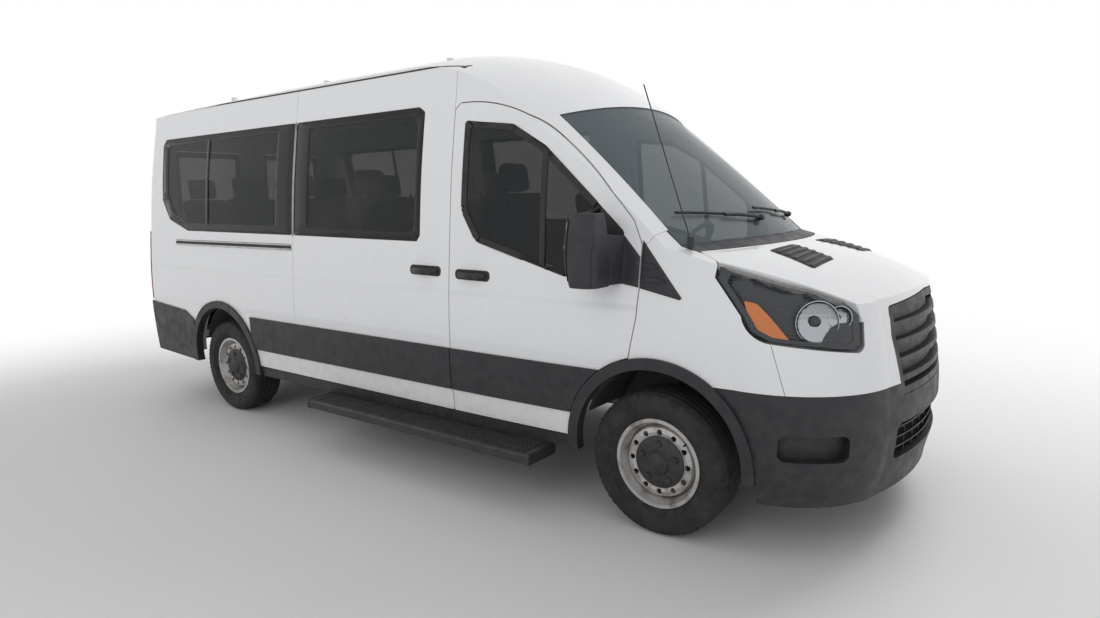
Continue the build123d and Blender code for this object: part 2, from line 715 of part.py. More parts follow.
# ---- floor, bulkhead, wheel housings and chassis rails ------------------------------------------
RAIL_Y, RAIL_W, RAIL_H = 430.0, 70.0, 120.0
FLOOR_START_X = -2830.0
RAIL_START_X, RAIL_LENGTH = -2825.0, 5475.0
CROSS_MEMBERS_X = (-2780.0, -700.0, 250.0, 1150.0)
BULKHEAD_X = 1960.0
HOUSING_R = ARCH_R + 20      # outside of a wheel housing
HOUSING_WALL = 14.0
HOUSING_INNER_Y = 550.0
underfloor_z = FLOOR_Z - FLOOR_PLATE


def housing(radius, inner_y, outer_y):
    """Round housing over each wheel, solid, between two distances from the middle plane."""
    with BuildPart() as housings:
        for side in (-1, 1):
            with BuildSketch(Plane.XZ.offset(-side * inner_y)):
                with Locations((FRONT_AXLE_X, ARCH_Z), (REAR_AXLE_X, ARCH_Z)):
                    Circle(radius)
            extrude(amount=-side * (outer_y - inner_y))
    return housings.part


housing_outside = housing(HOUSING_R, HOUSING_INNER_Y, REACH)
with BuildPart() as floor_panel:
    with BuildSketch(Plane.XY.offset(underfloor_z)):
        with Locations((FLOOR_START_X, 0)):
            Rectangle(BULKHEAD_X - 26 - FLOOR_START_X, 2300, align=(Align.MIN, Align.CENTER))
    extrude(amount=FLOOR_PLATE)
    add(frame_inside, mode=Mode.INTERSECT)
    add(housing_outside, mode=Mode.SUBTRACT)
publish(floor_panel.part, "floor_panel")

with BuildPart() as bulkhead:
    with Locations((BULKHEAD_X, 0, underfloor_z)):
        Box(24, 2200, 700, align=(Align.MAX, Align.CENTER, Align.MIN))
    add(frame_inside, mode=Mode.INTERSECT)
    add(housing_outside, mode=Mode.SUBTRACT)
publish(bulkhead.part, "bulkhead")

with BuildPart() as wheel_housings:
    add(housing_outside)
    add(housing(HOUSING_R - HOUSING_WALL, HOUSING_INNER_Y + HOUSING_WALL, REACH + 10),
        mode=Mode.SUBTRACT)
    with Locations((0, 0, underfloor_z - 60)):
        Box(7000, 3000, 1000, align=(Align.CENTER, Align.CENTER, Align.MAX), mode=Mode.SUBTRACT)
    add(frame_inside, mode=Mode.INTERSECT)
publish(wheel_housings.part, "wheel_housings")

with BuildPart() as chassis_rails:
    for side in (-1, 1):
        with Locations((RAIL_START_X, side * RAIL_Y, underfloor_z)):
            Box(RAIL_LENGTH, RAIL_W, RAIL_H, align=(Align.MIN, Align.CENTER, Align.MAX))
    with Locations(*[(x, 0, underfloor_z) for x in CROSS_MEMBERS_X]):
        Box(90, 1700, 70, align=(Align.CENTER, Align.CENTER, Align.MAX))
publish(chassis_rails.part, "chassis_rails")

# ---- wheels and tyres ---------------------------------------------------------------------------
WHEEL_HOLES = 12
HUB_FACE = 48.0          # disc's outer face, outboard of the wheel's middle plane


def turned(profile, plane):
    """Solid turned about the wheel's axle from a closed (along the axle, radius) profile."""
    with BuildPart() as solid:
        with BuildSketch(plane):
            with BuildLine():
                Polyline(*profile, close=True)
            make_face()
        revolve(axis=Axis(plane.origin, plane.x_dir))
    return solid.part


RIM_PROFILE = (
    (-92, 220.5), (-92, 203), (-66, 192), (40, 183), (66, 194), (92, 203), (92, 220.5), (86, 220.5),
    (86, 206), (62, 199), (20, 190), (-62, 199), (-86, 206), (-86, 220.5),
)
DISC_PROFILE = (
    (20, 187), (60, 170), (66, 148), (58, 116), (HUB_FACE, 104), (HUB_FACE, 32), (HUB_FACE - 10, 32),
    (HUB_FACE - 10, 108), (56, 146), (50, 164), (10, 187),
)
CAP_PROFILE = ((HUB_FACE, 0), (HUB_FACE, 70), (66, 62), (84, 30), (84, 0))
DRUM_PROFILE = ((-58, 0), (-58, 150), (6, 150), (6, 62), (HUB_FACE - 10, 62), (HUB_FACE - 10, 0))
TYRE_PROFILE = (
    (-84, 206), (84, 206), (85.5, 224), (117, 275), (113, 322), (90, 350), (0, TYRE_R),
    (-90, 350), (-113, 322), (-117, 275), (-85.5, 224),
)


def wheel_part(plane):
    """Pressed steel wheel with its brake drum or disc and its centre cap."""
    with BuildPart() as wheel:
        add(turned(RIM_PROFILE, plane))
        add(turned(DISC_PROFILE, plane))
        hole_plane = Plane(plane.origin, x_dir=(0, 0, 1), z_dir=plane.x_dir)
        with BuildSketch(hole_plane.offset(30)):
            with PolarLocations(148, WHEEL_HOLES):
                Circle(14)
        extrude(amount=60, mode=Mode.SUBTRACT)
        add(turned(CAP_PROFILE, plane))
        add(turned(DRUM_PROFILE, plane))
    return wheel.part


WHEELS = (
    # name, axle x, half track, side (+1 left)
    ("front_left", FRONT_AXLE_X, TRACK_FRONT / 2, 1),
    ("front_right", FRONT_AXLE_X, TRACK_FRONT / 2, -1),
    ("rear_left", REAR_AXLE_X, TRACK_REAR / 2, 1),
    ("rear_right", REAR_AXLE_X, TRACK_REAR / 2, -1),
)
for name, axle_x, half_track, side in WHEELS:
    axle_plane = Plane(origin=(axle_x, side * half_track, TYRE_R), x_dir=(0, side, 0), z_dir=(1, 0, 0))
    publish(wheel_part(axle_plane), f"wheel_{name}")
    publish(turned(TYRE_PROFILE, axle_plane), f"tyre_{name}")

# ---- steering knuckles and axles ----------------------------------------------------------------
KINGPIN_Y = 776.0
with BuildPart() as knuckle:
    with Locations((FRONT_AXLE_X, -KINGPIN_Y, TYRE_R)):
        Box(90, 36, 250)
    with Locations((FRONT_AXLE_X - 95, -KINGPIN_Y + 6, TYRE_R - 60)):
        Box(150, 24, 40)
    with BuildSketch(Plane.XZ.offset(KINGPIN_Y - 20)):
        with Locations((FRONT_AXLE_X, TYRE_R)):
            Circle(34)
    extrude(amount=45)
publish_pair(knuckle.part, "knuckle")

with BuildPart() as front_axle:
    with Locations((FRONT_AXLE_X, 0, 265)):
        Box(260, 1000, 70)
    for side in (-1, 1):
        with BuildSketch(Plane.XY.offset(190)):
            Polygon((FRONT_AXLE_X - 120, side * 480), (FRONT_AXLE_X + 120, side * 480),
                    (FRONT_AXLE_X + 30, side * 700), (FRONT_AXLE_X - 30, side * 700), align=None)
        extrude(amount=42)
        with Locations((FRONT_AXLE_X, side * 622, 232)):
            Cylinder(48, 585, align=(Align.CENTER, Align.CENTER, Align.MIN))
publish(front_axle.part, "front_axle")

SPRING_Y = 560.0
with BuildPart() as rear_axle:
    with BuildSketch(Plane.XZ.offset(-700)):
        with Locations((REAR_AXLE_X, TYRE_R)):
            Circle(48)
    extrude(amount=1400)
    with Locations((REAR_AXLE_X, 0, TYRE_R)):
        Sphere(150)
    for side in (-1, 1):
        with BuildSketch(Plane.XZ.offset(side * SPRING_Y - 35)):
            with BuildLine():
                ThreePointArc((REAR_AXLE_X - 700, 470), (REAR_AXLE_X, 300), (REAR_AXLE_X + 700, 470))
                Line((REAR_AXLE_X + 700, 470), (REAR_AXLE_X + 700, 442))
                ThreePointArc((REAR_AXLE_X + 700, 442), (REAR_AXLE_X, 262), (REAR_AXLE_X - 700, 442))
                Line((REAR_AXLE_X - 700, 442), (REAR_AXLE_X - 700, 470))
            make_face()
        extrude(amount=70)
publish(rear_axle.part, "rear_axle")

# ---- engine, drive line, tank and exhaust -------------------------------------------------------
with BuildPart() as engine:
    with Locations((2440, 0, 740)):
        Box(600, 500, 620)
    with Locations((1828, 0, 500)):
        Box(620, 300, 180)
publish(engine.part, "engine_block")

with BuildPart() as prop_shaft:
    with BuildSketch(Plane.YZ.offset(-1632)):
        with Locations((0, TYRE_R + 40)):
            Circle(38)
    extrude(amount=3148)
publish(prop_shaft.part, "prop_shaft")

with BuildPart() as fuel_tank:
    with Locations((250, 630, 410)):
        Box(900, 300, 220)
    fillet(fuel_tank.edges().filter_by(Axis.X), radius=45)
publish(fuel_tank.part, "fuel_tank")

with BuildPart() as exhaust:
    with BuildSketch(Plane.YZ.offset(-600)):
        with Locations((-250, 400)):
            Circle(100)
    extrude(amount=900)
    with BuildSketch(Plane.YZ.offset(300)):
        with Locations((-250, 400)):
            Circle(32)
    extrude(amount=1300)
publish(exhaust.part, "exhaust")

# ---- running board, aerial ----------------------------------------------------------------------
BOARD_START_X, BOARD_END_X = -490.0, 1370.0
with BuildPart() as running_board:
    with BuildSketch(Plane.YZ.offset(BOARD_START_X)):
        Polygon((-960, 300), (-1180, 286), (-1190, 300), (-1190, 330), (-1180, 342), (-960, 346),
                align=None)
    extrude(amount=BOARD_END_X - BOARD_START_X)
    for x in (BOARD_START_X + 250, BOARD_END_X - 250):
        with Locations((x, -720, 330)):
            Box(80, 480, 30)
publish(running_board.part, "running_board")

with BuildPart() as aerial:
    with Locations((2085, -862, 1385)):
        Cylinder(16, 50, align=(Align.CENTER, Align.CENTER, Align.MIN))
    with Locations(Location((2080, -862, 1430), (0, -19, 0))):
        Cylinder(3, 740, align=(Align.CENTER, Align.CENTER, Align.MIN))
publish(aerial.part, "aerial")

# ---- cab interior -------------------------------------------------------------------------------
with BuildPart() as dashboard:
    with BuildSketch(Plane.XZ.offset(-840)):
        with BuildLine():
            Polyline((1930, 900), (1700, 900), (1600, 1080))
            ThreePointArc((1600, 1080), (1605, 1240), (1690, 1330))
            Polyline((1690, 1330), (1930, 1350), (1930, 900))
        make_face()
    extrude(amount=1680)
publish(dashboard.part, "dashboard")

WHEEL_CENTRE = (1470.0, 450.0, 1285.0)
steer_plane = Plane(origin=WHEEL_CENTRE, x_dir=(0, 1, 0), z_dir=(-0.82, 0, 0.57))
with BuildPart() as steering_wheel:
    with BuildSketch(Plane(origin=WHEEL_CENTRE, x_dir=(0, 1, 0), z_dir=(0.57, 0, 0.82))):
        with Locations((185, 0)):
            Circle(15)
    revolve(axis=Axis(WHEEL_CENTRE, (-0.82, 0, 0.57)))
    with BuildSketch(steer_plane.offset(-12)):
        Circle(58)
        with PolarLocations(0, 3, start_angle=90):
            with Locations((110, 0)):
                Rectangle(150, 34)
    extrude(amount=22)
    with BuildSketch(steer_plane.offset(-12)):
        Circle(24)
    extrude(amount=-118)
publish(steering_wheel.part, "steering_wheel")

# ---- seats --------------------------------------------------------------------------------------
SEAT_HEIGHT = 1060.0


def seat_part(x, y, width, places):
    """One seat or bench: cushion, raked back and head restraints."""
    with BuildPart() as seat:
        with Locations((x, y, SEAT_HEIGHT)):
            Box(480, width, 130, align=(Align.CENTER, Align.CENTER, Align.MAX))
        fillet(seat.edges().filter_by(Axis.Y), radius=35)
        with BuildSketch(Plane.XZ.offset(-(y + width / 2))):
            with BuildLine():
                FilletPolyline((x - 250, SEAT_HEIGHT - 60), (x - 130, SEAT_HEIGHT - 60),
                               (x - 235, SEAT_HEIGHT + 620), (x - 335, SEAT_HEIGHT + 620),
                               radius=28, close=True)
            make_face()
        extrude(amount=width)
        pitch = width / places
        for place in range(places):
            with Locations((x - 300, y + (place - (places - 1) / 2) * pitch, SEAT_HEIGHT + 600)):
                Box(90, 250, 190, align=(Align.CENTER, Align.CENTER, Align.MIN))
    return seat.part


SEATS = (
    # node, x, ((y, width, places), ...)
    ("cab_seats", 1010, ((450, 520, 1), (-450, 520, 1))),
    ("seat_row_1", -90, ((430, 900, 2), (-650, 450, 1))),
    ("seat_row_2", -900, ((430, 900, 2), (-650, 450, 1))),
    ("seat_row_3", -1620, ((430, 900, 2), (-650, 450, 1))),
    ("seat_row_4", -2380, ((0, 1640, 4),)),
)
for node, x, row in SEATS:
    with BuildPart() as seats:
        for y, width, places in row:
            add(seat_part(x, y, width, places))
    publish(seats.part, node)

with BuildPart() as seat_bases:
    for node, x, row in SEATS:
        for y, width, places in row:
            low_y, high_y = max(y - width / 2 + 80, -530), min(y + width / 2 - 80, 530)
            with Locations((x, (low_y + high_y) / 2, FLOOR_Z)):
                Box(320, high_y - low_y, SEAT_HEIGHT - 130 - FLOOR_Z,
                    align=(Align.CENTER, Align.CENTER, Align.MIN))
publish(seat_bases.part, "seat_bases")
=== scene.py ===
# %% [markdown]
# # A long minibus, dressed step by step
#
# The frame already holds the hard parts of the vehicle: panels, glass, wheels, seats' cores and
# running gear. This script gives them finishes and adds what a coachbuilder fits afterwards:
# seals, lamps, handles, tread, cushions and trim. Lengths are metres. X points forward, Y to the
# driver's left and Z up. The near side, where passengers get in, is the side of negative Y.

from math import atan2, ceil, cos, pi, radians, sin

import bmesh
import bpy
from mathutils import Matrix, Vector
from mathutils.bvhtree import BVHTree


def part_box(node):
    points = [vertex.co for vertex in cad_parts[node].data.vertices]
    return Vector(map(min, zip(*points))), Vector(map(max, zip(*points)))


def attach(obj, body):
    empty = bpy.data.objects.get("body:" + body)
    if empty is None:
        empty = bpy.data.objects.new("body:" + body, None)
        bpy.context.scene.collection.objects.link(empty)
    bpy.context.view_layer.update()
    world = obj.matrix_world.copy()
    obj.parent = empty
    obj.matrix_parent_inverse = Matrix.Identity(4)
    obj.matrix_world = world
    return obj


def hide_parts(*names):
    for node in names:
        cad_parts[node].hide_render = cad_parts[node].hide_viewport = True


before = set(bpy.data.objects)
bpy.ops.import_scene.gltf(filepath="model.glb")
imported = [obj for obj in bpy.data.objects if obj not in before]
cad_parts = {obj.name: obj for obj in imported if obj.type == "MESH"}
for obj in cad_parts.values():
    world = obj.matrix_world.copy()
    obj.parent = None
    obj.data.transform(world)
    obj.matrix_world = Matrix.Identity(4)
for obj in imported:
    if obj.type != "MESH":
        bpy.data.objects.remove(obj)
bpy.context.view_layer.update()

# %% [markdown]
# ## Camera
#
# A camera could be aimed with a constraint, but a constraint hides its numbers. Here its three
# axes are worked out from azimuth, elevation and roll, so each number means one thing. Azimuth 0
# looks along +Y, and 90 looks along -X.

# %% Camera
IMAGE_WIDTH = 1100
FOCAL_IN_PIXELS = 708.5
SENSOR = 36.0
CAMERA_AT = Vector((3.505, -3.84, 1.624))
AZIMUTH, ELEVATION, ROLL = radians(36.81), radians(8.96), radians(-1.05)

back = Vector((sin(AZIMUTH) * cos(ELEVATION), -cos(AZIMUTH) * cos(ELEVATION), sin(ELEVATION)))
level_right = Vector((0, 0, 1)).cross(back).normalized()
level_up = back.cross(level_right)
right = level_right * cos(ROLL) + level_up * sin(ROLL)
up = level_up * cos(ROLL) - level_right * sin(ROLL)
camera_data = bpy.data.cameras.new("camera")
camera_data.sensor_width = SENSOR
camera_data.lens = FOCAL_IN_PIXELS * SENSOR / IMAGE_WIDTH
camera = bpy.data.objects.new("camera", camera_data)
camera.matrix_world = Matrix.Translation(CAMERA_AT) @ Matrix((right, up, back)).transposed().to_4x4()
bpy.context.scene.collection.objects.link(camera)
bpy.context.scene.camera = camera
bpy.context.scene.view_settings.view_transform = "Standard"
print("lens in mm:", round(camera_data.lens, 2))

# %% [markdown]
# ## Light and floor
#
# White paint needs gentle light from all round, with one large soft lamp high on the far side, so
# that the near side keeps its shape and the ground shadow falls towards us. The world is the
# fill. Rays that come straight from the camera, a reflection or a pane see plain white instead,
# so the backdrop stays white whatever the fill is.

# %% World and lamps
FILL = 0.50
world = bpy.data.worlds.new("studio")
bpy.context.scene.world = world
world.use_nodes = True
sky, sky_links = world.node_tree.nodes, world.node_tree.links
path = sky.new("ShaderNodeLightPath")
seen = sky.new("ShaderNodeMath")
seen.operation = "MAXIMUM"
seen_too = sky.new("ShaderNodeMath")
seen_too.operation = "MAXIMUM"
strength = sky.new("ShaderNodeMapRange")
strength.inputs["To Min"].default_value = FILL
strength.inputs["To Max"].default_value = 1.0
sky_links.new(path.outputs["Is Camera Ray"], seen.inputs[0])
sky_links.new(path.outputs["Is Glossy Ray"], seen.inputs[1])
sky_links.new(seen.outputs[0], seen_too.inputs[0])
sky_links.new(path.outputs["Is Transmission Ray"], seen_too.inputs[1])
sky_links.new(seen_too.outputs[0], strength.inputs["Value"])
sky_links.new(strength.outputs["Result"], sky["Background"].inputs["Strength"])
sky["Background"].inputs["Color"].default_value = (1, 1, 1, 1)

# name: (place, aimed at, size, power)
LAMPS = {
    "key": ((3.5, 6.5, 7.5), (0.3, 0, 1.0), 5.0, 430),
    "near_side": ((2.0, -9.0, 4.5), (0.0, 0, 1.2), 6.0, 130),
    "rear": ((-9.0, 1.0, 5.0), (-2.5, 0, 1.2), 4.0, 110),
}
for name, (place, target, size, power) in LAMPS.items():
    lamp = bpy.data.lights.new(name, "AREA")
    lamp.size = size
    lamp.energy = power
    lamp_object = bpy.data.objects.new(name, lamp)
    lamp_object.location = place
    lamp_object.visible_glossy = False
    lamp_object.rotation_euler = (Vector(target) - Vector(place)).to_track_quat("-Z", "Y").to_euler()
    bpy.context.scene.collection.objects.link(lamp_object)
print("lamps:", ", ".join(LAMPS))

# %% [markdown]
# The floor is one large pale sheet. Near the vehicle it is an ordinary matt surface that takes
# the shadow. Further out it fades into plain white, so no horizon line crosses the picture.

# %% Floor
FLOOR_HALF = 40.0
FADE_START, FADE_END = 3.6, 7.5
floor_bm = bmesh.new()
bmesh.ops.create_grid(floor_bm, x_segments=2, y_segments=2, size=FLOOR_HALF)
floor_mesh = bpy.data.meshes.new("studio_floor")
floor_bm.to_mesh(floor_mesh)
floor_bm.free()
floor = bpy.data.objects.new("studio_floor", floor_mesh)
bpy.context.scene.collection.objects.link(floor)
floor_finish = bpy.data.materials.new("studio_floor")
floor_finish.use_nodes = True
tree = floor_finish.node_tree
matt = tree.nodes["Principled BSDF"]
matt.inputs["Base Color"].default_value = (0.86, 0.86, 0.86, 1)
matt.inputs["Roughness"].default_value = 0.9
matt.inputs["Specular IOR Level"].default_value = 0.1
white = tree.nodes.new("ShaderNodeEmission")
centre = tree.nodes.new("ShaderNodeTexCoord")
reach = tree.nodes.new("ShaderNodeVectorMath")
reach.operation = "LENGTH"
fade = tree.nodes.new("ShaderNodeMapRange")
fade.interpolation_type = "SMOOTHSTEP"
fade.inputs["From Min"].default_value = FADE_START
fade.inputs["From Max"].default_value = FADE_END
mix = tree.nodes.new("ShaderNodeMixShader")
tree.links.new(centre.outputs["Object"], reach.inputs[0])
tree.links.new(reach.outputs["Value"], fade.inputs["Value"])
tree.links.new(fade.outputs["Result"], mix.inputs[0])
tree.links.new(matt.outputs[0], mix.inputs[1])
tree.links.new(white.outputs[0], mix.inputs[2])
tree.links.new(mix.outputs[0], tree.nodes["Material Output"].inputs["Surface"])
floor_mesh.materials.append(floor_finish)
print("floor half size:", FLOOR_HALF)

# %% [markdown]
# ## Finishes
#
# No real surface is one flat colour. Paint has a faint orange peel and gathers road dust low
# down, moulded plastic has a fine grain, and rubber goes grey and brown. Each finish is built
# from the same few nodes: noise for unevenness, a ramp for colour, a range for gloss and a bump
# for grain. They read Object coordinates, so a pattern stays put on every piece.

# %% Node helpers
class Finish:
    """One material, built up a layer at a time on Object coordinates."""

    def __init__(self, name, colour, roughness, metallic=0.0, **sockets):
        self.material = bpy.data.materials.new(name)
        self.material.use_nodes = True
        self.nodes = self.material.node_tree.nodes
        self.links = self.material.node_tree.links
        self.shader = self.nodes["Principled BSDF"]
        self.place = self.nodes.new("ShaderNodeTexCoord").outputs["Object"]
        self.colour = None
        self.normal = None
        self.shader.inputs["Base Color"].default_value = (*colour, 1)
        self.base = colour
        self.shader.inputs["Roughness"].default_value = roughness
        self.shader.inputs["Metallic"].default_value = metallic
        for socket, value in sockets.items():
            self.shader.inputs[socket.replace("_", " ")].default_value = value

    def noise(self, scale, detail=3.0):
        """Fractal noise with so many cells to the metre."""
        noise = self.nodes.new("ShaderNodeTexNoise")
        noise.inputs["Scale"].default_value = scale
        noise.inputs["Detail"].default_value = detail
        self.links.new(self.place, noise.inputs["Vector"])
        return noise.outputs["Fac"]

    def cells(self, scale):
        """Distance to the nearest of scattered points, for pebbled grain."""
        voronoi = self.nodes.new("ShaderNodeTexVoronoi")
        voronoi.inputs["Scale"].default_value = scale
        self.links.new(self.place, voronoi.inputs["Vector"])
        return voronoi.outputs["Distance"]

    def waves(self, scale, axis, distortion=0.0):
        """Ridges across one axis, for ribs and threads."""
        wave = self.nodes.new("ShaderNodeTexWave")
        wave.bands_direction = axis
        wave.inputs["Scale"].default_value = scale
        wave.inputs["Distortion"].default_value = distortion
        self.links.new(self.place, wave.inputs["Vector"])
        return wave.outputs["Fac"]

    def height(self):
        """Height above the floor."""
        split = self.nodes.new("ShaderNodeSeparateXYZ")
        self.links.new(self.place, split.inputs[0])
        return split.outputs["Z"]

    def span(self, value, low, high, to_low=0.0, to_high=1.0):
        """A value stretched from one range to another, with soft ends."""
        fit = self.nodes.new("ShaderNodeMapRange")
        fit.interpolation_type = "SMOOTHSTEP"
        for socket, number in zip(("From Min", "From Max", "To Min", "To Max"),
                                  (low, high, to_low, to_high)):
            fit.inputs[socket].default_value = number
        self.links.new(value, fit.inputs["Value"])
        return fit.outputs["Result"]

    def times(self, a, b):
        """Product of two values."""
        product = self.nodes.new("ShaderNodeMath")
        product.operation = "MULTIPLY"
        self.links.new(a, product.inputs[0])
        self.links.new(b, product.inputs[1])
        return product.outputs[0]

    def stain(self, amount, colour):
        """Mixes another colour over what is there, by amount."""
        mixer = self.nodes.new("ShaderNodeMix")
        mixer.data_type = "RGBA"
        self.links.new(amount, mixer.inputs["Factor"])
        mixer.inputs[6].default_value = (*self.base, 1)
        if self.colour:
            self.links.new(self.colour, mixer.inputs[6])
        mixer.inputs[7].default_value = (*colour, 1)
        self.colour = mixer.outputs[2]
        self.links.new(self.colour, self.shader.inputs["Base Color"])

    def gloss(self, value, low, high):
        """Roughness that varies with a value."""
        self.links.new(self.span(value, 0.3, 0.7, low, high), self.shader.inputs["Roughness"])

    def grain(self, value, depth, strength=0.6):
        """Bumps as deep as given, in metres, on top of the bumps already there."""
        bump = self.nodes.new("ShaderNodeBump")
        bump.inputs["Distance"].default_value = depth
        bump.inputs["Strength"].default_value = strength
        self.links.new(value, bump.inputs["Height"])
        if self.normal:
            self.links.new(self.normal, bump.inputs["Normal"])
        self.normal = bump.outputs["Normal"]
        self.links.new(self.normal, self.shader.inputs["Normal"])


print("finish layers: noise, cells, waves, stain, gloss, grain")

# %% [markdown]
# Body paint is white under clear lacquer. The side panels get one more layer: the pressed crease
# that runs the length of the vehicle just above the wheel arches. It could be modelled, but it is
# a few millimetres deep on panels that the frame already shapes, so a soft step in the bump is
# enough to catch the light.

# %% Paint
ROAD_DUST = (0.50, 0.46, 0.40)


def body_paint(name, creases=()):
    """White lacquered paint with dust low down, and soft pressed steps at the given heights."""
    paint = Finish(name, (0.80, 0.81, 0.825), 0.3, Coat_Weight=0.55, Coat_Roughness=0.05)
    low_down = paint.span(paint.height(), 0.75, 0.40, 0.0, 0.30)
    paint.stain(paint.times(low_down, paint.span(paint.noise(18, 9), 0.25, 0.85)), ROAD_DUST)
    paint.stain(paint.span(paint.noise(1.3, 2), 0.25, 0.85, 0.0, 0.08), (0.70, 0.71, 0.72))
    paint.gloss(paint.noise(3, 5), 0.24, 0.38)
    paint.grain(paint.noise(55, 1), 0.0012, 0.10)
    for low, high, depth in creases:
        paint.grain(paint.span(paint.height(), low, high), depth, 1.0)
    return paint.material


# lower edge, upper edge, depth of each pressed step
SIDE_CREASES = ((1.085, 1.13, -0.010), (0.80, 0.86, 0.006))
PAINT = body_paint("white_paint")
SIDE_PAINT = body_paint("white_paint_pressed", SIDE_CREASES)
print("paint creases at", [low for low, high, depth in SIDE_CREASES])

# %% [markdown]
# The bumpers, the side band and the arch trims are unpainted plastic with a leather-like grain.
# Glass is modelled as thin tinted sheets: part of each ray passes straight through, and the rest
# meets a glossy surface.

# %% Plastics, rubber and glass
def grained_plastic(name, colour, roughness, cell_scale=700, dusty=0.35):
    """Moulded plastic with a pebbled grain and dust in it."""
    plastic = Finish(name, colour, roughness)
    low_down = plastic.span(plastic.height(), 1.0, 0.3, 0.04, dusty)
    dusty_spots = plastic.times(low_down, plastic.span(plastic.noise(22, 9), 0.25, 0.85))
    plastic.stain(dusty_spots, (0.13, 0.12, 0.11))
    plastic.gloss(plastic.noise(14, 4), roughness - 0.07, roughness + 0.10)
    plastic.grain(plastic.cells(cell_scale), 0.0006, 0.35)
    return plastic.material


def tinted_glass(name, colour, alpha):
    """A thin tinted pane."""
    glass = Finish(name, colour, 0.03, Alpha=alpha, Specular_IOR_Level=0.3)
    glass.stain(glass.span(glass.noise(2.5, 5), 0.5, 0.8, 0.0, 0.10), (0.25, 0.24, 0.22))
    glass.gloss(glass.noise(4, 6), 0.02, 0.07)
    return glass.material


BLACK_PLASTIC = grained_plastic("black_plastic", (0.016, 0.017, 0.021), 0.50, 700, 0.22)
CABIN_PLASTIC = grained_plastic("cabin_plastic", (0.055, 0.057, 0.062), 0.55, 900, 0.1)
PALE_PLASTIC = grained_plastic("pale_cabin_plastic", (0.42, 0.42, 0.40), 0.55, 900, 0.1)
SEAL_RUBBER = grained_plastic("seal_rubber", (0.012, 0.012, 0.013), 0.62, 400, 0.2)
CLEAR_GLASS = tinted_glass("clear_glass", (0.12, 0.155, 0.175), 0.45)
DARK_GLASS = tinted_glass("dark_glass", (0.012, 0.015, 0.017), 0.56)
LENS = tinted_glass("lamp_lens", (0.10, 0.11, 0.12), 0.14)

PRINTED_BLACK = Finish("printed_black", (0.005, 0.005, 0.006), 0.12, Specular_IOR_Level=0.3)
PRINTED_BLACK.gloss(PRINTED_BLACK.noise(5, 5), 0.05, 0.12)
PRINTED_BLACK = PRINTED_BLACK.material
print("glass and plastics:", 8)

# %% [markdown]
# The wheels are plain pressed steel, sprayed silver and dirty from brake dust. The tyres are
# matt, with a faint bloom of dried mud on the sidewalls. Lamp lenses are ribbed inside, and the
# bare metals under the floor are stained.

# %% Metals, tyres and lenses
def stained_metal(name, colour, roughness, stain_colour, stain_to, metallic=1.0, scale=12):
    """Metal with blotches of another colour and uneven gloss."""
    metal = Finish(name, colour, roughness, metallic)
    metal.stain(metal.span(metal.noise(scale, 8), 0.42, 0.74, 0.0, stain_to), stain_colour)
    metal.gloss(metal.noise(scale * 2, 5), roughness - 0.08, roughness + 0.12)
    metal.grain(metal.noise(260, 3), 0.0004, 0.25)
    return metal.material


def ribbed_lens(name, colour, alpha, axis, ribs):
    """Coloured lens with fine moulded ribs."""
    lens = Finish(name, colour, 0.08, Alpha=alpha, Coat_Weight=0.8)
    lens.stain(lens.span(lens.noise(20, 3), 0.3, 0.8, 0.0, 0.3), tuple(0.5 * c for c in colour))
    lens.grain(lens.waves(ribs, axis), 0.0015, 0.5)
    return lens.material


WHEEL_STEEL = stained_metal("wheel_steel", (0.50, 0.49, 0.48), 0.42, (0.16, 0.12, 0.09), 0.75, 0.55, 16)
AXLE_IRON = stained_metal("axle_iron", (0.07, 0.065, 0.06), 0.62, (0.13, 0.07, 0.04), 0.6, 0.7, 9)
EXHAUST_STEEL = stained_metal("exhaust_steel", (0.36, 0.33, 0.30), 0.45, (0.20, 0.11, 0.06), 0.6, 0.9, 10)
UNDERBODY = stained_metal("underbody", (0.055, 0.055, 0.058), 0.75, (0.12, 0.10, 0.08), 0.5, 0.0, 6)
BRIGHT_METAL = stained_metal("bright_metal", (0.82, 0.82, 0.82), 0.14, (0.55, 0.55, 0.54), 0.3)
MIRROR_GLASS = stained_metal("mirror_glass", (0.86, 0.88, 0.90), 0.09, (0.72, 0.73, 0.74), 0.2)
RAIL_METAL = stained_metal("rail_metal", (0.45, 0.45, 0.45), 0.35, (0.25, 0.24, 0.23), 0.5, 0.85)
SEAT_METAL = stained_metal("seat_metal", (0.10, 0.10, 0.105), 0.50, (0.05, 0.05, 0.05), 0.5, 0.6)
RED_LENS = ribbed_lens("red_lens", (0.34, 0.008, 0.008), 1.0, "Z", 45)
AMBER_LENS = ribbed_lens("amber_lens", (0.85, 0.22, 0.02), 1.0, "X", 60)
WHITE_LENS = ribbed_lens("white_lens", (0.75, 0.76, 0.78), 1.0, "Z", 45)

rubber = Finish("tyre_rubber", (0.016, 0.016, 0.017), 0.80)
rubber.stain(rubber.span(rubber.noise(8, 8), 0.36, 0.72, 0.0, 0.45), (0.050, 0.045, 0.040))
rubber.gloss(rubber.noise(25, 4), 0.70, 0.95)
rubber.grain(rubber.noise(300, 4), 0.0006, 0.4)
TYRE = rubber.material
print("tyre finish:", TYRE.name)

# %% [markdown]
# Seat cloth is a coarse woven fabric. Two crossed wave patterns of a few millimetres give the
# threads, and sheen lets the cloth go pale at grazing angles as real upholstery does.

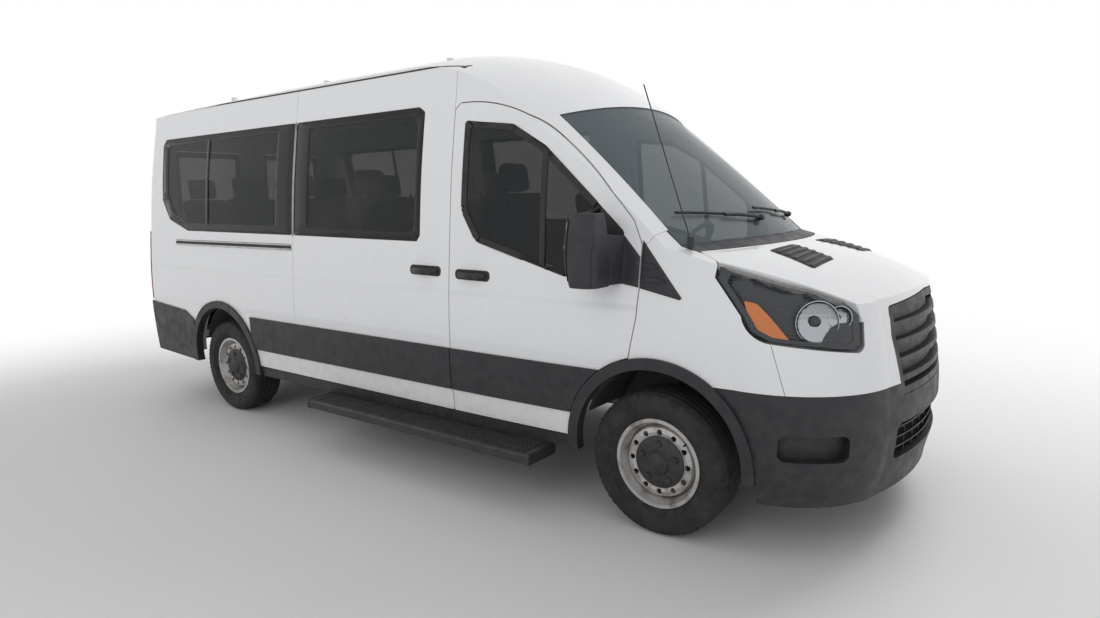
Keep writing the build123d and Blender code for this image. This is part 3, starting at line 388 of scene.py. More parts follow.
# %% Cloth
def woven(name, colour, fleck, threads=260):
    """Woven cloth with threads both ways and small flecks."""
    cloth = Finish(name, colour, 0.92, Sheen_Weight=0.35)
    cloth.stain(cloth.span(cloth.noise(420, 2), 0.52, 0.66, 0.0, 0.7), fleck)
    cloth.stain(cloth.span(cloth.noise(4, 4), 0.4, 0.8, 0.0, 0.3), tuple(0.6 * c for c in colour))
    for axis in "YZ":
        cloth.grain(cloth.waves(threads, axis, 0.4), 0.0006, 0.45)
    return cloth.material


SEAT_CLOTH = woven("seat_cloth", (0.085, 0.088, 0.095), (0.17, 0.17, 0.18))
HEADLINING = woven("headlining", (0.52, 0.52, 0.50), (0.60, 0.60, 0.58), 400)
BELT_WEBBING = woven("belt_webbing", (0.03, 0.03, 0.032), (0.05, 0.05, 0.05), 700)

# %% [markdown]
# The frame says for each of its nodes which kind of finish it takes, such as paint or dark glass.
# The finish goes on the node and not on its mesh, so nodes that share a mesh could still differ.
# The sides and their doors get the paint that carries the pressed creases.

# %% Give the frame's nodes their finishes
FINISH_OF_SLOT = {
    "paint": PAINT,
    "black_plastic": BLACK_PLASTIC,
    "clear_glass": CLEAR_GLASS,
    "dark_glass": DARK_GLASS,
    "lamp_lens": LENS,
    "red_lens": RED_LENS,
    "wheel_steel": WHEEL_STEEL,
    "tyre": TYRE,
    "axle_iron": AXLE_IRON,
    "exhaust_steel": EXHAUST_STEEL,
    "underbody": UNDERBODY,
    "cabin_plastic": CABIN_PLASTIC,
    "seat_metal": SEAT_METAL,
    "seat_cloth": SEAT_CLOTH,
}
for name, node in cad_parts.items():
    slot = node.material_slots[0]
    finish = FINISH_OF_SLOT[slot.material.name]
    if name.startswith(("body_side", "sliding_door", "cab_door_left", "cab_door_right")):
        finish = SIDE_PAINT
    slot.link = "OBJECT"
    slot.material = finish
print("finished nodes:", len(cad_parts))

# %% [markdown]
# ## Fitting pieces to curved panels
#
# Seals, glazing prints and trims lie on panels that curve two ways. Modelling each curve again
# would never match. Instead a piece is drawn flat in the side, front or top view, cut across so
# that it can bend, and each point is sent straight at the panel until it lands. Then the skin is
# given its thickness.

# %% Drawing flat and landing on a panel
SIDES = ((-1, "right"), (1, "left"))
LAMP_AT, LAMP_ALONG = Vector((2.6, 0.88, 1.1)), Vector((0.8, 0.6, 0))


def lamp_point(side):
    """Start of a ray that faces a headlamp, from distances along and up its face."""
    at = Vector((LAMP_AT.x, side * LAMP_AT.y, LAMP_AT.z))
    along = Vector((LAMP_ALONG.x, -side * LAMP_ALONG.y, 0))
    outward = Vector((LAMP_ALONG.y, side * LAMP_ALONG.x, 0))
    return lambda a, b: at + along * a + Vector((0, 0, b)) + outward, -outward


# view: (point from two flat coordinates, direction of the rays)
VIEWS = {
    "right": (lambda a, b: Vector((a, -2, b)), Vector((0, 1, 0))),
    "left": (lambda a, b: Vector((a, 2, b)), Vector((0, -1, 0))),
    "top": (lambda a, b: Vector((a, b, 4)), Vector((0, 0, -1))),
    "front": (lambda a, b: Vector((4, a, b)), Vector((-1, 0, 0))),
    "rear": (lambda a, b: Vector((-4, a, b)), Vector((1, 0, 0))),
    "inside_right": (lambda a, b: Vector((a, 0, b)), Vector((0, -1, 0))),
    "inside_left": (lambda a, b: Vector((a, 0, b)), Vector((0, 1, 0))),
    "inside_rear": (lambda a, b: Vector((-2.3, a, b)), Vector((-1, 0, 0))),
    "lamp_right": lamp_point(-1),
    "lamp_left": lamp_point(1),
}


def skin_of(*nodes):
    """Search tree over the faces of some of the frame's nodes."""
    vertices, faces = [], []
    for name in nodes:
        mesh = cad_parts[name].data
        first = len(vertices)
        vertices += [v.co.copy() for v in mesh.vertices]
        faces += [[first + i for i in face.vertices] for face in mesh.polygons]
    return BVHTree.FromPolygons(vertices, faces)


def oblong(a_low, a_high, b_low, b_high):
    """Corners of an upright rectangle in a view."""
    return [(a_low, b_low), (a_high, b_low), (a_high, b_high), (a_low, b_high)]


def block(size, centre=(0, 0, 0), round_off=0.01, segments=3):
    """A box with rounded edges."""
    bm = bmesh.new()
    bmesh.ops.create_cube(bm, size=1.0)
    bmesh.ops.scale(bm, vec=size, verts=bm.verts[:])
    bmesh.ops.bevel(bm, geom=bm.edges[:], offset=round_off, offset_type="OFFSET", segments=segments,
                    profile=0.5, affect="EDGES", material=-1)
    bmesh.ops.translate(bm, vec=centre, verts=bm.verts[:])
    return bm


def turned(points, axis, steps, closed=False):
    """A profile of points spun once round an axis through the origin."""
    bm = bmesh.new()
    line = [bm.verts.new(point) for point in points]
    ends = line[1:] + line[:1] if closed else line[1:]
    edges = [bm.edges.new(pair) for pair in zip(line, ends)]
    bmesh.ops.spin(bm, geom=line + edges, axis=axis, cent=(0, 0, 0), angle=2 * pi, steps=steps,
                   use_merge=True)
    return bm


def thicken(bm, thickness):
    """Joins a sheet's seam, points its faces one way and gives it a thickness."""
    bmesh.ops.remove_doubles(bm, verts=bm.verts[:], dist=1e-5)
    bmesh.ops.recalc_face_normals(bm, faces=bm.faces[:])
    bmesh.ops.solidify(bm, geom=bm.faces[:], thickness=thickness)


def draw(bm, corners, start, round_off):
    """One flat face with rounded corners."""
    vertices = [bm.verts.new(start(a, b)) for a, b in corners]
    face = bm.faces.new(vertices)
    if not round_off:
        return face
    rounded = bmesh.ops.bevel(bm, geom=vertices, offset=round_off, offset_type="OFFSET", segments=6,
                              profile=0.5, affect="VERTICES", material=-1)
    return [f for f in bm.faces if set(rounded["verts"]) & set(f.verts)][0]


def cut_across(bm, step):
    """Cuts the flat sheet by evenly spaced planes along all three axes."""
    for axis in range(3):
        places = [v.co[axis] for v in bm.verts]
        normal = Vector([float(i == axis) for i in range(3)])
        for i in range(ceil(min(places) / step), ceil(max(places) / step)):
            everything = bm.verts[:] + bm.edges[:] + bm.faces[:]
            bmesh.ops.bisect_plane(bm, geom=everything, plane_co=normal * i * step, plane_no=normal,
                                   dist=1e-6)


def show(name, bm, finish, body="body", sharp=35):
    """Turns a bmesh into a finished piece that rides on a body."""
    bmesh.ops.remove_doubles(bm, verts=bm.verts[:], dist=1e-6)
    bmesh.ops.recalc_face_normals(bm, faces=bm.faces[:])
    mesh = bpy.data.meshes.new(name)
    bm.to_mesh(mesh)
    bm.free()
    mesh.materials.append(finish)
    mesh.shade_smooth()
    mesh.set_sharp_from_angle(angle=radians(sharp))
    piece = bpy.data.objects.new(name, mesh)
    bpy.context.scene.collection.objects.link(piece)
    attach(piece, body)
    return piece


def fitted(name, corners, view, skin, finish, body="body", lift=0.0, thick=0.003,
           round_off=0.0, hole=None, step=0.08, ease=0.3):
    """A thin piece, with an optional hole, landed on a skin and given a thickness and soft edges."""
    start, towards = VIEWS[view]
    bm = bmesh.new()
    face = draw(bm, corners, start, round_off)
    if hole:
        inner = draw(bm, hole, start, round_off)
        bmesh.ops.delete(bm, geom=[face, inner], context="FACES_ONLY")
        bmesh.ops.bridge_loops(bm, edges=bm.edges[:])
    cut_across(bm, step)
    for v in bm.verts:
        landed = skin.ray_cast(v.co, towards)[0]
        if landed is None:
            landed = skin.find_nearest(v.co + towards * 1.1)[0]
        v.co = landed - towards * lift
    raised = bmesh.ops.extrude_face_region(bm, geom=bm.faces[:])["geom"]
    top = [v for v in raised if isinstance(v, bmesh.types.BMVert)]
    bmesh.ops.translate(bm, verts=top, vec=-towards * thick)
    bmesh.ops.recalc_face_normals(bm, faces=bm.faces[:])
    if ease:
        rims = [e for e in bm.edges if e.is_manifold and e.calc_face_angle() > radians(50)
                and e.verts[0] in top and e.verts[1] in top]
        bmesh.ops.bevel(bm, geom=rims, offset=ease * thick, offset_type="OFFSET", segments=2,
                        profile=0.5, affect="EDGES", clamp_overlap=True, material=-1)
    return show(name, bm, finish, body)


SIDE_SKIN = {
    word: skin_of(f"body_side_{word}", f"cab_door_{word}", f"side_windows_{word}", "front_wings",
                  f"cab_door_window_{word}", "roof_panel", *(["sliding_door"] if word == "right" else []))
    for side, word in SIDES
}
print("views to draw in:", len(VIEWS))

# %% [markdown]
# ## Side glass
#
# Bus glass is bonded on, and a wide black ceramic print hides the glue. The print is what shows
# as the broad dark border, with the clear pane smaller inside it. The rear quarter pane has an
# upright bar a third of the way along, where an opening vent begins.

# %% Printed borders, quarter bar and joint covers
# outer corners and the corners of the clear pane, in the side view
SLIDE_PANE = (
    ((-0.791, 1.400), (0.425, 1.385), (0.450, 1.420), (0.450, 2.120), (0.400, 2.150), (-0.791, 2.150)),
    ((-0.640, 1.452), (0.380, 1.436), (0.398, 1.470), (0.398, 2.060), (0.360, 2.096), (-0.640, 2.100)),
)
QUARTER_PANE = (
    ((-0.809, 1.400), (-2.230, 1.412), (-2.520, 1.500), (-2.645, 1.660), (-2.665, 2.100),
     (-2.620, 2.150), (-0.809, 2.150)),
    ((-1.010, 1.462), (-2.200, 1.470), (-2.440, 1.545), (-2.548, 1.690), (-2.575, 2.060),
     (-2.540, 2.095), (-1.010, 2.100)),
)
BAR_X = (-1.950, -1.915)
for side, word in SIDES:
    glass_skin = skin_of(f"side_windows_{word}")
    for name, (outer, inner) in (("slide", SLIDE_PANE), ("quarter", QUARTER_PANE)):
        fitted(f"{name}_pane_border_{word}", outer, word, glass_skin, PRINTED_BLACK,
               lift=0.0004, thick=0.0012, round_off=0.018, hole=inner, step=0.11)
    bar = oblong(*BAR_X, 1.455, 2.11)
    fitted(f"quarter_pane_bar_{word}", bar, word, glass_skin, PRINTED_BLACK,
           lift=0.0004, thick=0.004, step=0.11)
    covers = ((-0.809, -0.791),) if word == "left" else ((-0.810, -0.8035), (-0.7965, -0.790))
    for number, (low, high) in enumerate(covers):
        strip = oblong(low, high, 1.395, 2.152)
        fitted(f"pane_joint_cover_{word}_{number}", strip, word, SIDE_SKIN[word], PRINTED_BLACK,
               lift=-0.001, thick=0.0025, step=0.11)
print("clear pane length:", SLIDE_PANE[1][1][0] - SLIDE_PANE[1][0][0])

# %% [markdown]
# The cab door window sits in a thick rubber run, and an upright rail splits off the fixed front
# corner, which carries the mirror. In front of it a black three-cornered cover with two flutes
# fills the foot of the pillar, half on the door and half on the wing.

# %% Cab window run, rail and pillar covers
CAB_PANE = (
    ((0.775, 2.045), (1.100, 2.005), (1.310, 1.885), (1.650, 1.588), (1.650, 1.238), (1.470, 1.235),
     (0.885, 1.395), (0.775, 1.560)),
    ((0.812, 2.008), (1.085, 1.972), (1.288, 1.858), (1.625, 1.566), (1.625, 1.270), (1.475, 1.268),
     (0.905, 1.425), (0.812, 1.572)),
)
CAB_RAIL = ((1.318, 1.290), (1.352, 1.280), (1.330, 1.855), (1.296, 1.885))
DOOR_COVER = ((1.776, 1.462), (1.886, 1.345), (1.886, 1.205), (1.776, 1.222))
WING_COVER = ((1.896, 1.420), (2.105, 1.168), (2.095, 1.160), (1.896, 1.202))
# rear, front and height of each flute, on the wing cover
FLUTES = ((1.905, 1.985, 1.305), (1.905, 2.030, 1.242))
for side, word in SIDES:
    door = f"cab_door_{word}"
    door_glass = skin_of(f"cab_door_window_{word}", f"cab_door_trim_{word}", f"cab_door_{word}")
    fitted(f"cab_window_run_{word}", CAB_PANE[0], word, door_glass, SEAL_RUBBER,
           door, lift=0.0004, thick=0.005, round_off=0.022, hole=CAB_PANE[1])
    fitted(f"cab_window_rail_{word}", CAB_RAIL, word, door_glass, SEAL_RUBBER, door,
           lift=0.0004, thick=0.006)
    fitted(f"pillar_cover_door_{word}", DOOR_COVER, word, skin_of(door, f"cab_door_trim_{word}"),
           BLACK_PLASTIC, door, thick=0.004, step=0.03)
    wing_skin = skin_of("front_wings", f"body_side_{word}")
    fitted(f"pillar_cover_wing_{word}", WING_COVER, word, wing_skin, BLACK_PLASTIC,
           thick=0.006, step=0.03)
    for number, (rear, front, z) in enumerate(FLUTES):
        flute = [(rear, z - 0.011), (front, z - 0.008), (front - 0.03, z + 0.010), (rear, z + 0.012)]
        fitted(f"pillar_cover_flute_{word}_{number}", flute, word, wing_skin, BLACK_PLASTIC,
               lift=0.005, thick=0.009, round_off=0.006, step=0.04, ease=0.45)
print("pillar cover tip at", WING_COVER[1])

# %% [markdown]
# ## Handles and sliding rail
#
# A pull handle is a bar that bridges a shallow dish. The dish is drawn and landed as a thin
# plate. The grip is a box, cut into lengths, drawn in towards its ends, bowed away from the door
# and rounded by a bevel: a few operators, and it reads as one moulding.

# %% Handles
HANDLE_LENGTH, HANDLE_HEIGHT, HANDLE_REACH = 0.205, 0.034, 0.045
SLIDING_HANDLE_AT, CAB_HANDLE_AT = (0.500, 1.222), (0.865, 1.212)


def grip(name, centre, outward, along, body):
    """A bowed door pull on two feet."""
    bm = bmesh.new()
    bmesh.ops.create_cube(bm, size=1.0)
    lengthways = [e for e in bm.edges if abs(e.verts[0].co.x - e.verts[1].co.x) > 0.5]
    bmesh.ops.subdivide_edges(bm, edges=lengthways, cuts=9)
    for v in bm.verts:
        t = 2 * v.co.x
        v.co.x *= HANDLE_LENGTH
        v.co.y = v.co.y * 0.016 + HANDLE_REACH * (1 - abs(t) ** 2.6)
        v.co.z *= HANDLE_HEIGHT * (1 - 0.35 * t * t)
    rims = [e for e in bm.edges if e.calc_face_angle(0) > radians(40)]
    bmesh.ops.bevel(bm, geom=rims, offset=0.005, offset_type="OFFSET", segments=3, profile=0.5,
                    affect="EDGES", clamp_overlap=True, material=-1)
    turn = Matrix((along, outward, along.cross(outward))).transposed().to_4x4()
    bmesh.ops.transform(bm, matrix=Matrix.Translation(centre) @ turn, verts=bm.verts[:])
    return show(name, bm, BLACK_PLASTIC, body)


def side_handle(name, x, z, word, body):
    """Dish and grip of a handle on the side of the body, level with the seam."""
    skin = SIDE_SKIN[word]
    dish = [(x - 0.125, z - 0.026), (x + 0.125, z - 0.030), (x + 0.125, z + 0.028), (x - 0.125, z + 0.030)]
    fitted(f"{name}_dish", dish, word, skin, SEAL_RUBBER, body, lift=-0.001,
           thick=0.004, round_off=0.024, step=0.04)
    start, towards = VIEWS[word]
    landed = skin.ray_cast(start(x, z), towards)[0]
    grip(name, landed - towards * 0.004, -towards, Vector((1, 0, 0)), body)


side_handle("sliding_door_handle", *SLIDING_HANDLE_AT, "right", "body")
for side, word in SIDES:
    side_handle(f"cab_door_handle_{word}", *CAB_HANDLE_AT, word, f"cab_door_{word}")
print("handles: 3, each", HANDLE_LENGTH, "long")

# %% [markdown]
# The sliding door hangs from a metal track let into the rear quarter. It shows as a dark slot
# with a bright lip, from the door's seam almost to the tail lamp. The body's long joints and the
# fuel flap are thin rubber lines that the bare panels lack. Along the roof's drip seam a dark
# rubber strip is painted shade: it stands for the shaded line of that crease.

# %% Rail, drip seam shade and fuel flap
RAIL_X, RAIL_Z = (-2.42, -0.815), 1.318
# where the roof's drip seam runs, for a dark strip of painted shade along it
DRIP_SEAM_SHADE = (-2.80, 0.69, 2.357, 2.366)
rail_slot = oblong(*RAIL_X, RAIL_Z - 0.022, RAIL_Z + 0.022)
fitted("slide_rail_slot", rail_slot, "right", SIDE_SKIN["right"], SEAL_RUBBER,
       lift=-0.001, thick=0.003, round_off=0.01)
for name, low, high, out in (("upper", 0.010, 0.020, 0.007), ("lower", -0.021, -0.008, 0.010)):
    lip = oblong(RAIL_X[0] + 0.01, RAIL_X[1], RAIL_Z + low, RAIL_Z + high)
    fitted(f"slide_rail_{name}_lip", lip, "right", SIDE_SKIN["right"], RAIL_METAL,
           lift=0.001, thick=out, ease=0.4)
# the dark rubber strip along the drip seam is painted shade, standing for the crease's shaded line
for side, word in SIDES:
    fitted(f"drip_seam_shade_{word}", oblong(*DRIP_SEAM_SHADE), word, SIDE_SKIN[word], SEAL_RUBBER,
           lift=0.0, thick=0.003, step=0.03)
flap, flap_hole = oblong(0.43, 0.63, 0.93, 1.13), oblong(0.434, 0.626, 0.934, 1.126)
fitted("fuel_flap_joint", flap, "left", SIDE_SKIN["left"], SEAL_RUBBER,
       lift=-0.001, thick=0.0016, round_off=0.02, hole=flap_hole)
print("slide rail length:", RAIL_X[1] - RAIL_X[0])

# %% [markdown]
# ## Bonnet vents, wipers and the space behind the grille
#
# Two black louvred inserts lie in the bonnet's rear half. Each is a tray with bars across it. The
# tray's sides slant, so a bar's ends are found by how far along those sides it lies.

# %% Bonnet vents
VENT = ((2.330, 0.185), (2.560, 0.270), (2.550, 0.560), (2.320, 0.500))
BARS = 5
bonnet_skin = skin_of("bonnet")
for side, word in SIDES:
    tray = [(x, side * y) for x, y in VENT]
    fitted(f"bonnet_vent_{word}", tray, "top", bonnet_skin, SEAL_RUBBER, "bonnet",
           lift=-0.001, thick=0.0035, round_off=0.02, step=0.06)
    for bar in range(BARS):
        t = (bar + 0.7) / (BARS + 0.4)
        x0 = VENT[0][0] + t * (VENT[1][0] - VENT[0][0])
        y0 = VENT[0][1] + t * (VENT[1][1] - VENT[0][1]) + 0.012
        y1 = VENT[3][1] + t * (VENT[2][1] - VENT[3][1]) - 0.012
        louvre = [(x0, side * y0), (x0 + 0.016, side * y0), (x0 + 0.010, side * y1),
                  (x0 - 0.006, side * y1)]
        fitted(f"bonnet_vent_louvre_{word}_{bar}", louvre, "top", bonnet_skin, BLACK_PLASTIC,
               "bonnet", lift=0.001, thick=0.007, step=0.06, ease=0.4)
print("louvres a side:", BARS)

# %% [markdown]
# The wipers park along the foot of the windscreen: an arm on a round pivot and a rubber blade.
# Both are bars along a smooth line through a few points. Rays dropped on the glass find those
# points, so the wipers follow its curve.

# %% Wipers
# upper edge on the middle line, length forward to the foot, and how it bows over the width
SCREEN_TOP_X, SCREEN_RUN, SCREEN_BOW = 1.40, 0.74, 0.24
screen_skin = skin_of("windscreen", "cowl_panel", "roof_panel", "body_side_right", "body_side_left")


def bar_between(name, points, radius, finish, body="body", sides=8):
    """A round bar along a smooth line through a few points."""
    line = bpy.data.curves.new(name, "CURVE")
    line.dimensions = "3D"
    line.bevel_depth = radius
    line.bevel_resolution = max(1, sides // 4)
    line.use_fill_caps = True
    spline = line.splines.new("POLY" if len(points) == 2 else "NURBS")
    spline.points.add(len(points) - 1)
    for point, place in zip(spline.points, points):
        point.co = (*place, 1)
    if len(points) > 2:
        spline.order_u = 3
        spline.use_endpoint_u = True
        spline.resolution_u = 6
    carrier = bpy.data.objects.new(name + "_line", line)
    bpy.context.scene.collection.objects.link(carrier)
    mesh = bpy.data.meshes.new_from_object(carrier.evaluated_get(bpy.context.evaluated_depsgraph_get()))
    bpy.data.objects.remove(carrier)
    bpy.data.curves.remove(line)
    bm = bmesh.new()
    bm.from_mesh(mesh)
    bpy.data.meshes.remove(mesh)
    return show(name, bm, finish, body)


def on_screen(y, down):
    """A point just clear of the windscreen, this far down from its upper edge to its foot."""
    x = SCREEN_TOP_X + SCREEN_RUN * down - SCREEN_BOW * y * y
    landed = screen_skin.ray_cast(Vector((x, y, 4)), Vector((0, 0, -1)))[0]
    return landed + Vector((0.010, 0, 0.016))


# pivot's y, tip's y, how far up the tip and pivot lie
WIPERS = {"near": (-0.10, -0.74, 0.90, 1.0), "driver": (0.55, -0.08, 0.90, 1.0)}
for name, (pivot_y, tip_y, tip_down, pivot_down) in WIPERS.items():
    heel, tip = on_screen(pivot_y, pivot_down - 0.03), on_screen(tip_y, tip_down)
    middle = on_screen((pivot_y + tip_y) / 2, (tip_down + pivot_down) / 2 - 0.015)
    knee = heel.lerp(middle, 0.5) + Vector((0.006, 0, 0.012))
    bar_between(f"wiper_arm_{name}", [heel, knee, middle], 0.009, BLACK_PLASTIC)
    near_end = on_screen(pivot_y * 0.72 + tip_y * 0.28, tip_down + 0.045)
    blade = [near_end, near_end.lerp(tip, 0.5) + Vector((0.004, 0, 0.006)), tip]
    bar_between(f"wiper_blade_{name}", blade, 0.007, SEAL_RUBBER)
    bm = bmesh.new()
    bmesh.ops.create_uvsphere(bm, u_segments=16, v_segments=8, radius=0.022)
    bmesh.ops.scale(bm, vec=(1, 1, 0.8), verts=bm.verts[:])
    bmesh.ops.translate(bm, vec=heel, verts=bm.verts[:])
    show(f"wiper_pivot_{name}", bm, BLACK_PLASTIC)
print("wipers:", len(WIPERS))

# %% [markdown]
# Behind the bars of the grille and the low intake there is a radiator. A dark finned panel
# closes the view through the nose. A scooped rubber duct leads the low opening's air to it, made
# by bending a grid, and a coarse plastic mesh crosses the opening.

# %% Radiator, duct and intake mesh
# the bumper's face on the middle line, and how it bows over the width
BUMPER_X, BUMPER_BOW = 2.945, 0.30
INTAKE_ROWS, ROW_LOW, ROW_PITCH = 3, 0.468, 0.045
INTAKE_COLUMNS, COLUMN_PITCH, COLUMN_Z = 9, 0.105, (0.425, 0.605)
RADIATOR_SIZE, RADIATOR_AT = (0.06, 1.30, 0.66), (2.775, 0, 0.71)
RADIATOR = Finish("radiator_fins", (0.03, 0.03, 0.032), 0.6, 0.5)
RADIATOR.grain(RADIATOR.waves(160, "Y"), 0.003, 0.8)
RADIATOR.stain(RADIATOR.span(RADIATOR.noise(10, 5), 0.4, 0.8, 0.0, 0.6), (0.10, 0.085, 0.07))
show("radiator", block(RADIATOR_SIZE, RADIATOR_AT, 0.008, 2), RADIATOR.material)
DUCT_HALF, DUCT_LOW, DUCT_HIGH, DUCT_DEPTH = 0.495, 0.418, 0.612, 0.150
bm = bmesh.new()
bmesh.ops.create_grid(bm, x_segments=40, y_segments=12, size=0.5)
for v in bm.verts:
    across, turn = 2 * v.co.x, pi * (v.co.y + 0.5)
    y = DUCT_HALF * across
    deep = DUCT_DEPTH * (1 - across ** 8) * sin(turn) ** 0.35 if 0 < turn < pi else 0.0
    lip = 0.5 * (DUCT_LOW + DUCT_HIGH) - 0.5 * (DUCT_HIGH - DUCT_LOW) * cos(turn)
    v.co = Vector((BUMPER_X - 0.010 - BUMPER_BOW * y * y - deep, y, lip))
bmesh.ops.recalc_face_normals(bm, faces=bm.faces[:])
bmesh.ops.solidify(bm, geom=bm.faces[:], thickness=0.003)
show("intake_duct", bm, SEAL_RUBBER)
for row in range(INTAKE_ROWS):
    z = ROW_LOW + ROW_PITCH * row
    bm = bmesh.new()
    bmesh.ops.create_grid(bm, x_segments=24, y_segments=1, size=0.5)
    for v in bm.verts:
        y = 0.99 * v.co.x
        v.co = Vector((BUMPER_X + 0.007 - BUMPER_BOW * y * y + 0.018 * v.co.y, y, z + 0.012 * v.co.y))
    bmesh.ops.solidify(bm, geom=bm.faces[:], thickness=0.007)
    show(f"intake_bar_{row}", bm, BLACK_PLASTIC)
for column in range(INTAKE_COLUMNS):
    y = COLUMN_PITCH * (column - (INTAKE_COLUMNS - 1) / 2)
    x = BUMPER_X - BUMPER_BOW * y * y
    bar_between(f"intake_post_{column}", [(x, y, z) for z in COLUMN_Z], 0.005, BLACK_PLASTIC)
print("intake bars and posts:", INTAKE_ROWS, INTAKE_COLUMNS)

# %% [markdown]
# ## Headlamps
#
# A headlamp is a clear cover over a dark box. The frame's solid is the cover. Inside go the box's
# back, a bezel round its edge, a bright bowl with its bulb shade, a smaller second bowl, a satin
# mask over the low corner and the amber strip. Where the bonnet cuts the lamp's top edge is found
# by probing with rays.

# %% Headlamp measures and helpers
LAMP_MARGIN = 0.008
LAMP_TOP_STEPS = (-0.296, -0.18, -0.06, 0.06, 0.18, 0.250)
LAMP_FOOT = ((0.250, -0.108), (0.220, -0.128), (-0.130, -0.090), (-0.196, -0.055), (-0.230, 0.012),
             (-0.318, 0.165))
MAIN_BOWL = (0.060, -0.010, 0.092)
SIDE_BOWL = (0.160, 0.004, 0.052)
# the dark corner under the smaller bowl, as lamp-face points
LOW_MASK = ((0.070, -0.112), (0.205, -0.116), (0.238, -0.095), (0.238, -0.016), (0.150, -0.016),
            (0.118, -0.030), (0.082, -0.074))
AMBER = ((-0.225, 0.075), (-0.178, 0.066), (-0.128, 0.010), (-0.052, -0.088), (-0.125, -0.082),
         (-0.183, -0.045), (-0.212, 0.010))
BOWL_DEPTH = 0.034
BEZEL = 0.88


def lamp_top(skin, view, along):
    """How high the lamp reaches at a distance along its face."""
    start, towards = VIEWS[view]
    for step in range(120):
        height = 0.26 - 0.003 * step
        if skin.ray_cast(start(along, height), towards, 1.4)[0]:
            return height
    return 0.0


def bowl(name, centre, outward, radius):
    """A reflector: a quarter of an ellipse spun about its own axis, with a thick rim."""
    angles = [t * pi / 16 for t in range(9)]
    bm = turned([(radius * sin(t), 0, BOWL_DEPTH * (1 - cos(t))) for t in angles], (0, 0, 1), 40)
    thicken(bm, 0.003)
    turn = outward.to_track_quat("Z", "Y").to_matrix().to_4x4()
    bmesh.ops.transform(bm, matrix=Matrix.Translation(centre) @ turn, verts=bm.verts[:])
    show(name, bm, REFLECTOR.material)


print("bowl radii:", MAIN_BOWL[2], SIDE_BOWL[2])

# %% [markdown]
# The bowls are bright metal with a faint ripple, which breaks up the reflection. The mask is dark
# satin plastic. The same pieces go into both lamps, and rays along each lamp's own direction land
# them behind its cover.

# %% Headlamp finishes and pieces
lamp_skin = skin_of("headlamps")
REFLECTOR = Finish("lamp_reflector", (0.50, 0.52, 0.55), 0.14, 1.0)
REFLECTOR.grain(REFLECTOR.waves(14, "Z", 0.3), 0.0012, 0.35)
REFLECTOR.gloss(REFLECTOR.noise(30), 0.10, 0.22)
LAMP_MASK = Finish("lamp_mask", (0.030, 0.032, 0.036), 0.30, Coat_Weight=0.3)
LAMP_MASK.grain(LAMP_MASK.waves(26, "Z", 0.6), 0.002, 0.35)
LAMP_MASK.gloss(LAMP_MASK.noise(30), 0.24, 0.38)
for side, word in SIDES:
    view = f"lamp_{word}"
    start, towards = VIEWS[view]
    tops = [(a, lamp_top(lamp_skin, view, a) - LAMP_MARGIN) for a in LAMP_TOP_STEPS]
    outline = tops + list(LAMP_FOOT)
    fitted(f"headlamp_back_{word}", outline, view, lamp_skin, LAMP_MASK.material,
           lift=-0.050, thick=0.004, step=0.06, ease=0)
    middle_a = sum(a for a, b in outline) / len(outline)
    middle_b = sum(b for a, b in outline) / len(outline)
    inner = [(middle_a + BEZEL * (a - middle_a), middle_b + BEZEL * (b - middle_b)) for a, b in outline]
    fitted(f"headlamp_bezel_{word}", outline, view, lamp_skin, LAMP_MASK.material,
           lift=-0.008, thick=0.003, hole=inner, step=0.06, ease=0)
    for number, (a, b, radius) in enumerate((MAIN_BOWL, SIDE_BOWL)):
        landed = lamp_skin.ray_cast(start(a, b), towards)[0]
        outward = -towards
        bowl(f"headlamp_bowl_{word}_{number}", landed - outward * (0.012 + BOWL_DEPTH), outward, radius)
        bm = bmesh.new()
        bmesh.ops.create_uvsphere(bm, u_segments=24, v_segments=12, radius=radius * 0.25)
        bmesh.ops.scale(bm, vec=(1, 1, 0.7), verts=bm.verts[:])
        turn = outward.to_track_quat("Z", "Y").to_matrix().to_4x4()
        bmesh.ops.transform(bm, matrix=Matrix.Translation(landed - outward * 0.034) @ turn,
                            verts=bm.verts[:])
        show(f"headlamp_bulb_shade_{word}_{number}", bm, LAMP_MASK.material)
    fitted(f"headlamp_low_mask_{word}", LOW_MASK, view, lamp_skin, LAMP_MASK.material,
           lift=-0.011, thick=0.004, round_off=0.012, step=0.03)
    fitted(f"headlamp_indicator_{word}", AMBER, view, lamp_skin, AMBER_LENS,
           lift=-0.016, thick=0.010, round_off=0.008, step=0.03)
print("lamp top edge:", [round(b, 3) for a, b in tops])

# %% [markdown]
# ## Wheels and tyres
#
# A tyre is turned, so a spun profile makes it: bead, sidewall with two raised rings, shoulder, and
# a tread with four grooves. The shoulder's blocks are one small chamfered box, repeated round the
# tyre in a loop. The wheel's frame node keeps its shape and gains a black push-on cap.

# %% Tyres with tread
TYRE_R = 0.356
GROOVES = ((-0.058, 0.006), (-0.020, 0.005), (0.020, 0.005), (0.058, 0.006))
GROOVE_DEPTH = 0.008
SIDEWALL = ((0.0845, 0.208), (0.0865, 0.224), (0.098, 0.238), (0.1085, 0.252), (0.1100, 0.256),
            (0.1125, 0.2565), (0.1155, 0.272), (0.1165, 0.288), (0.1160, 0.302), (0.1170, 0.303),
            (0.1165, 0.308), (0.1120, 0.322), (0.1045, 0.336), (0.0955, 0.3445))
BLOCKS = 58
# length round the tyre, distance across it and radius of a block's two ends
BLOCK_INNER, BLOCK_OUTER = (0.026, 0.0895, 0.3505), (0.024, 0.1065, 0.3372)


def tread_radius(y):
    """Radius of the tread, a little less towards the shoulders."""
    return TYRE_R - 0.0005 - 0.5 * y * y


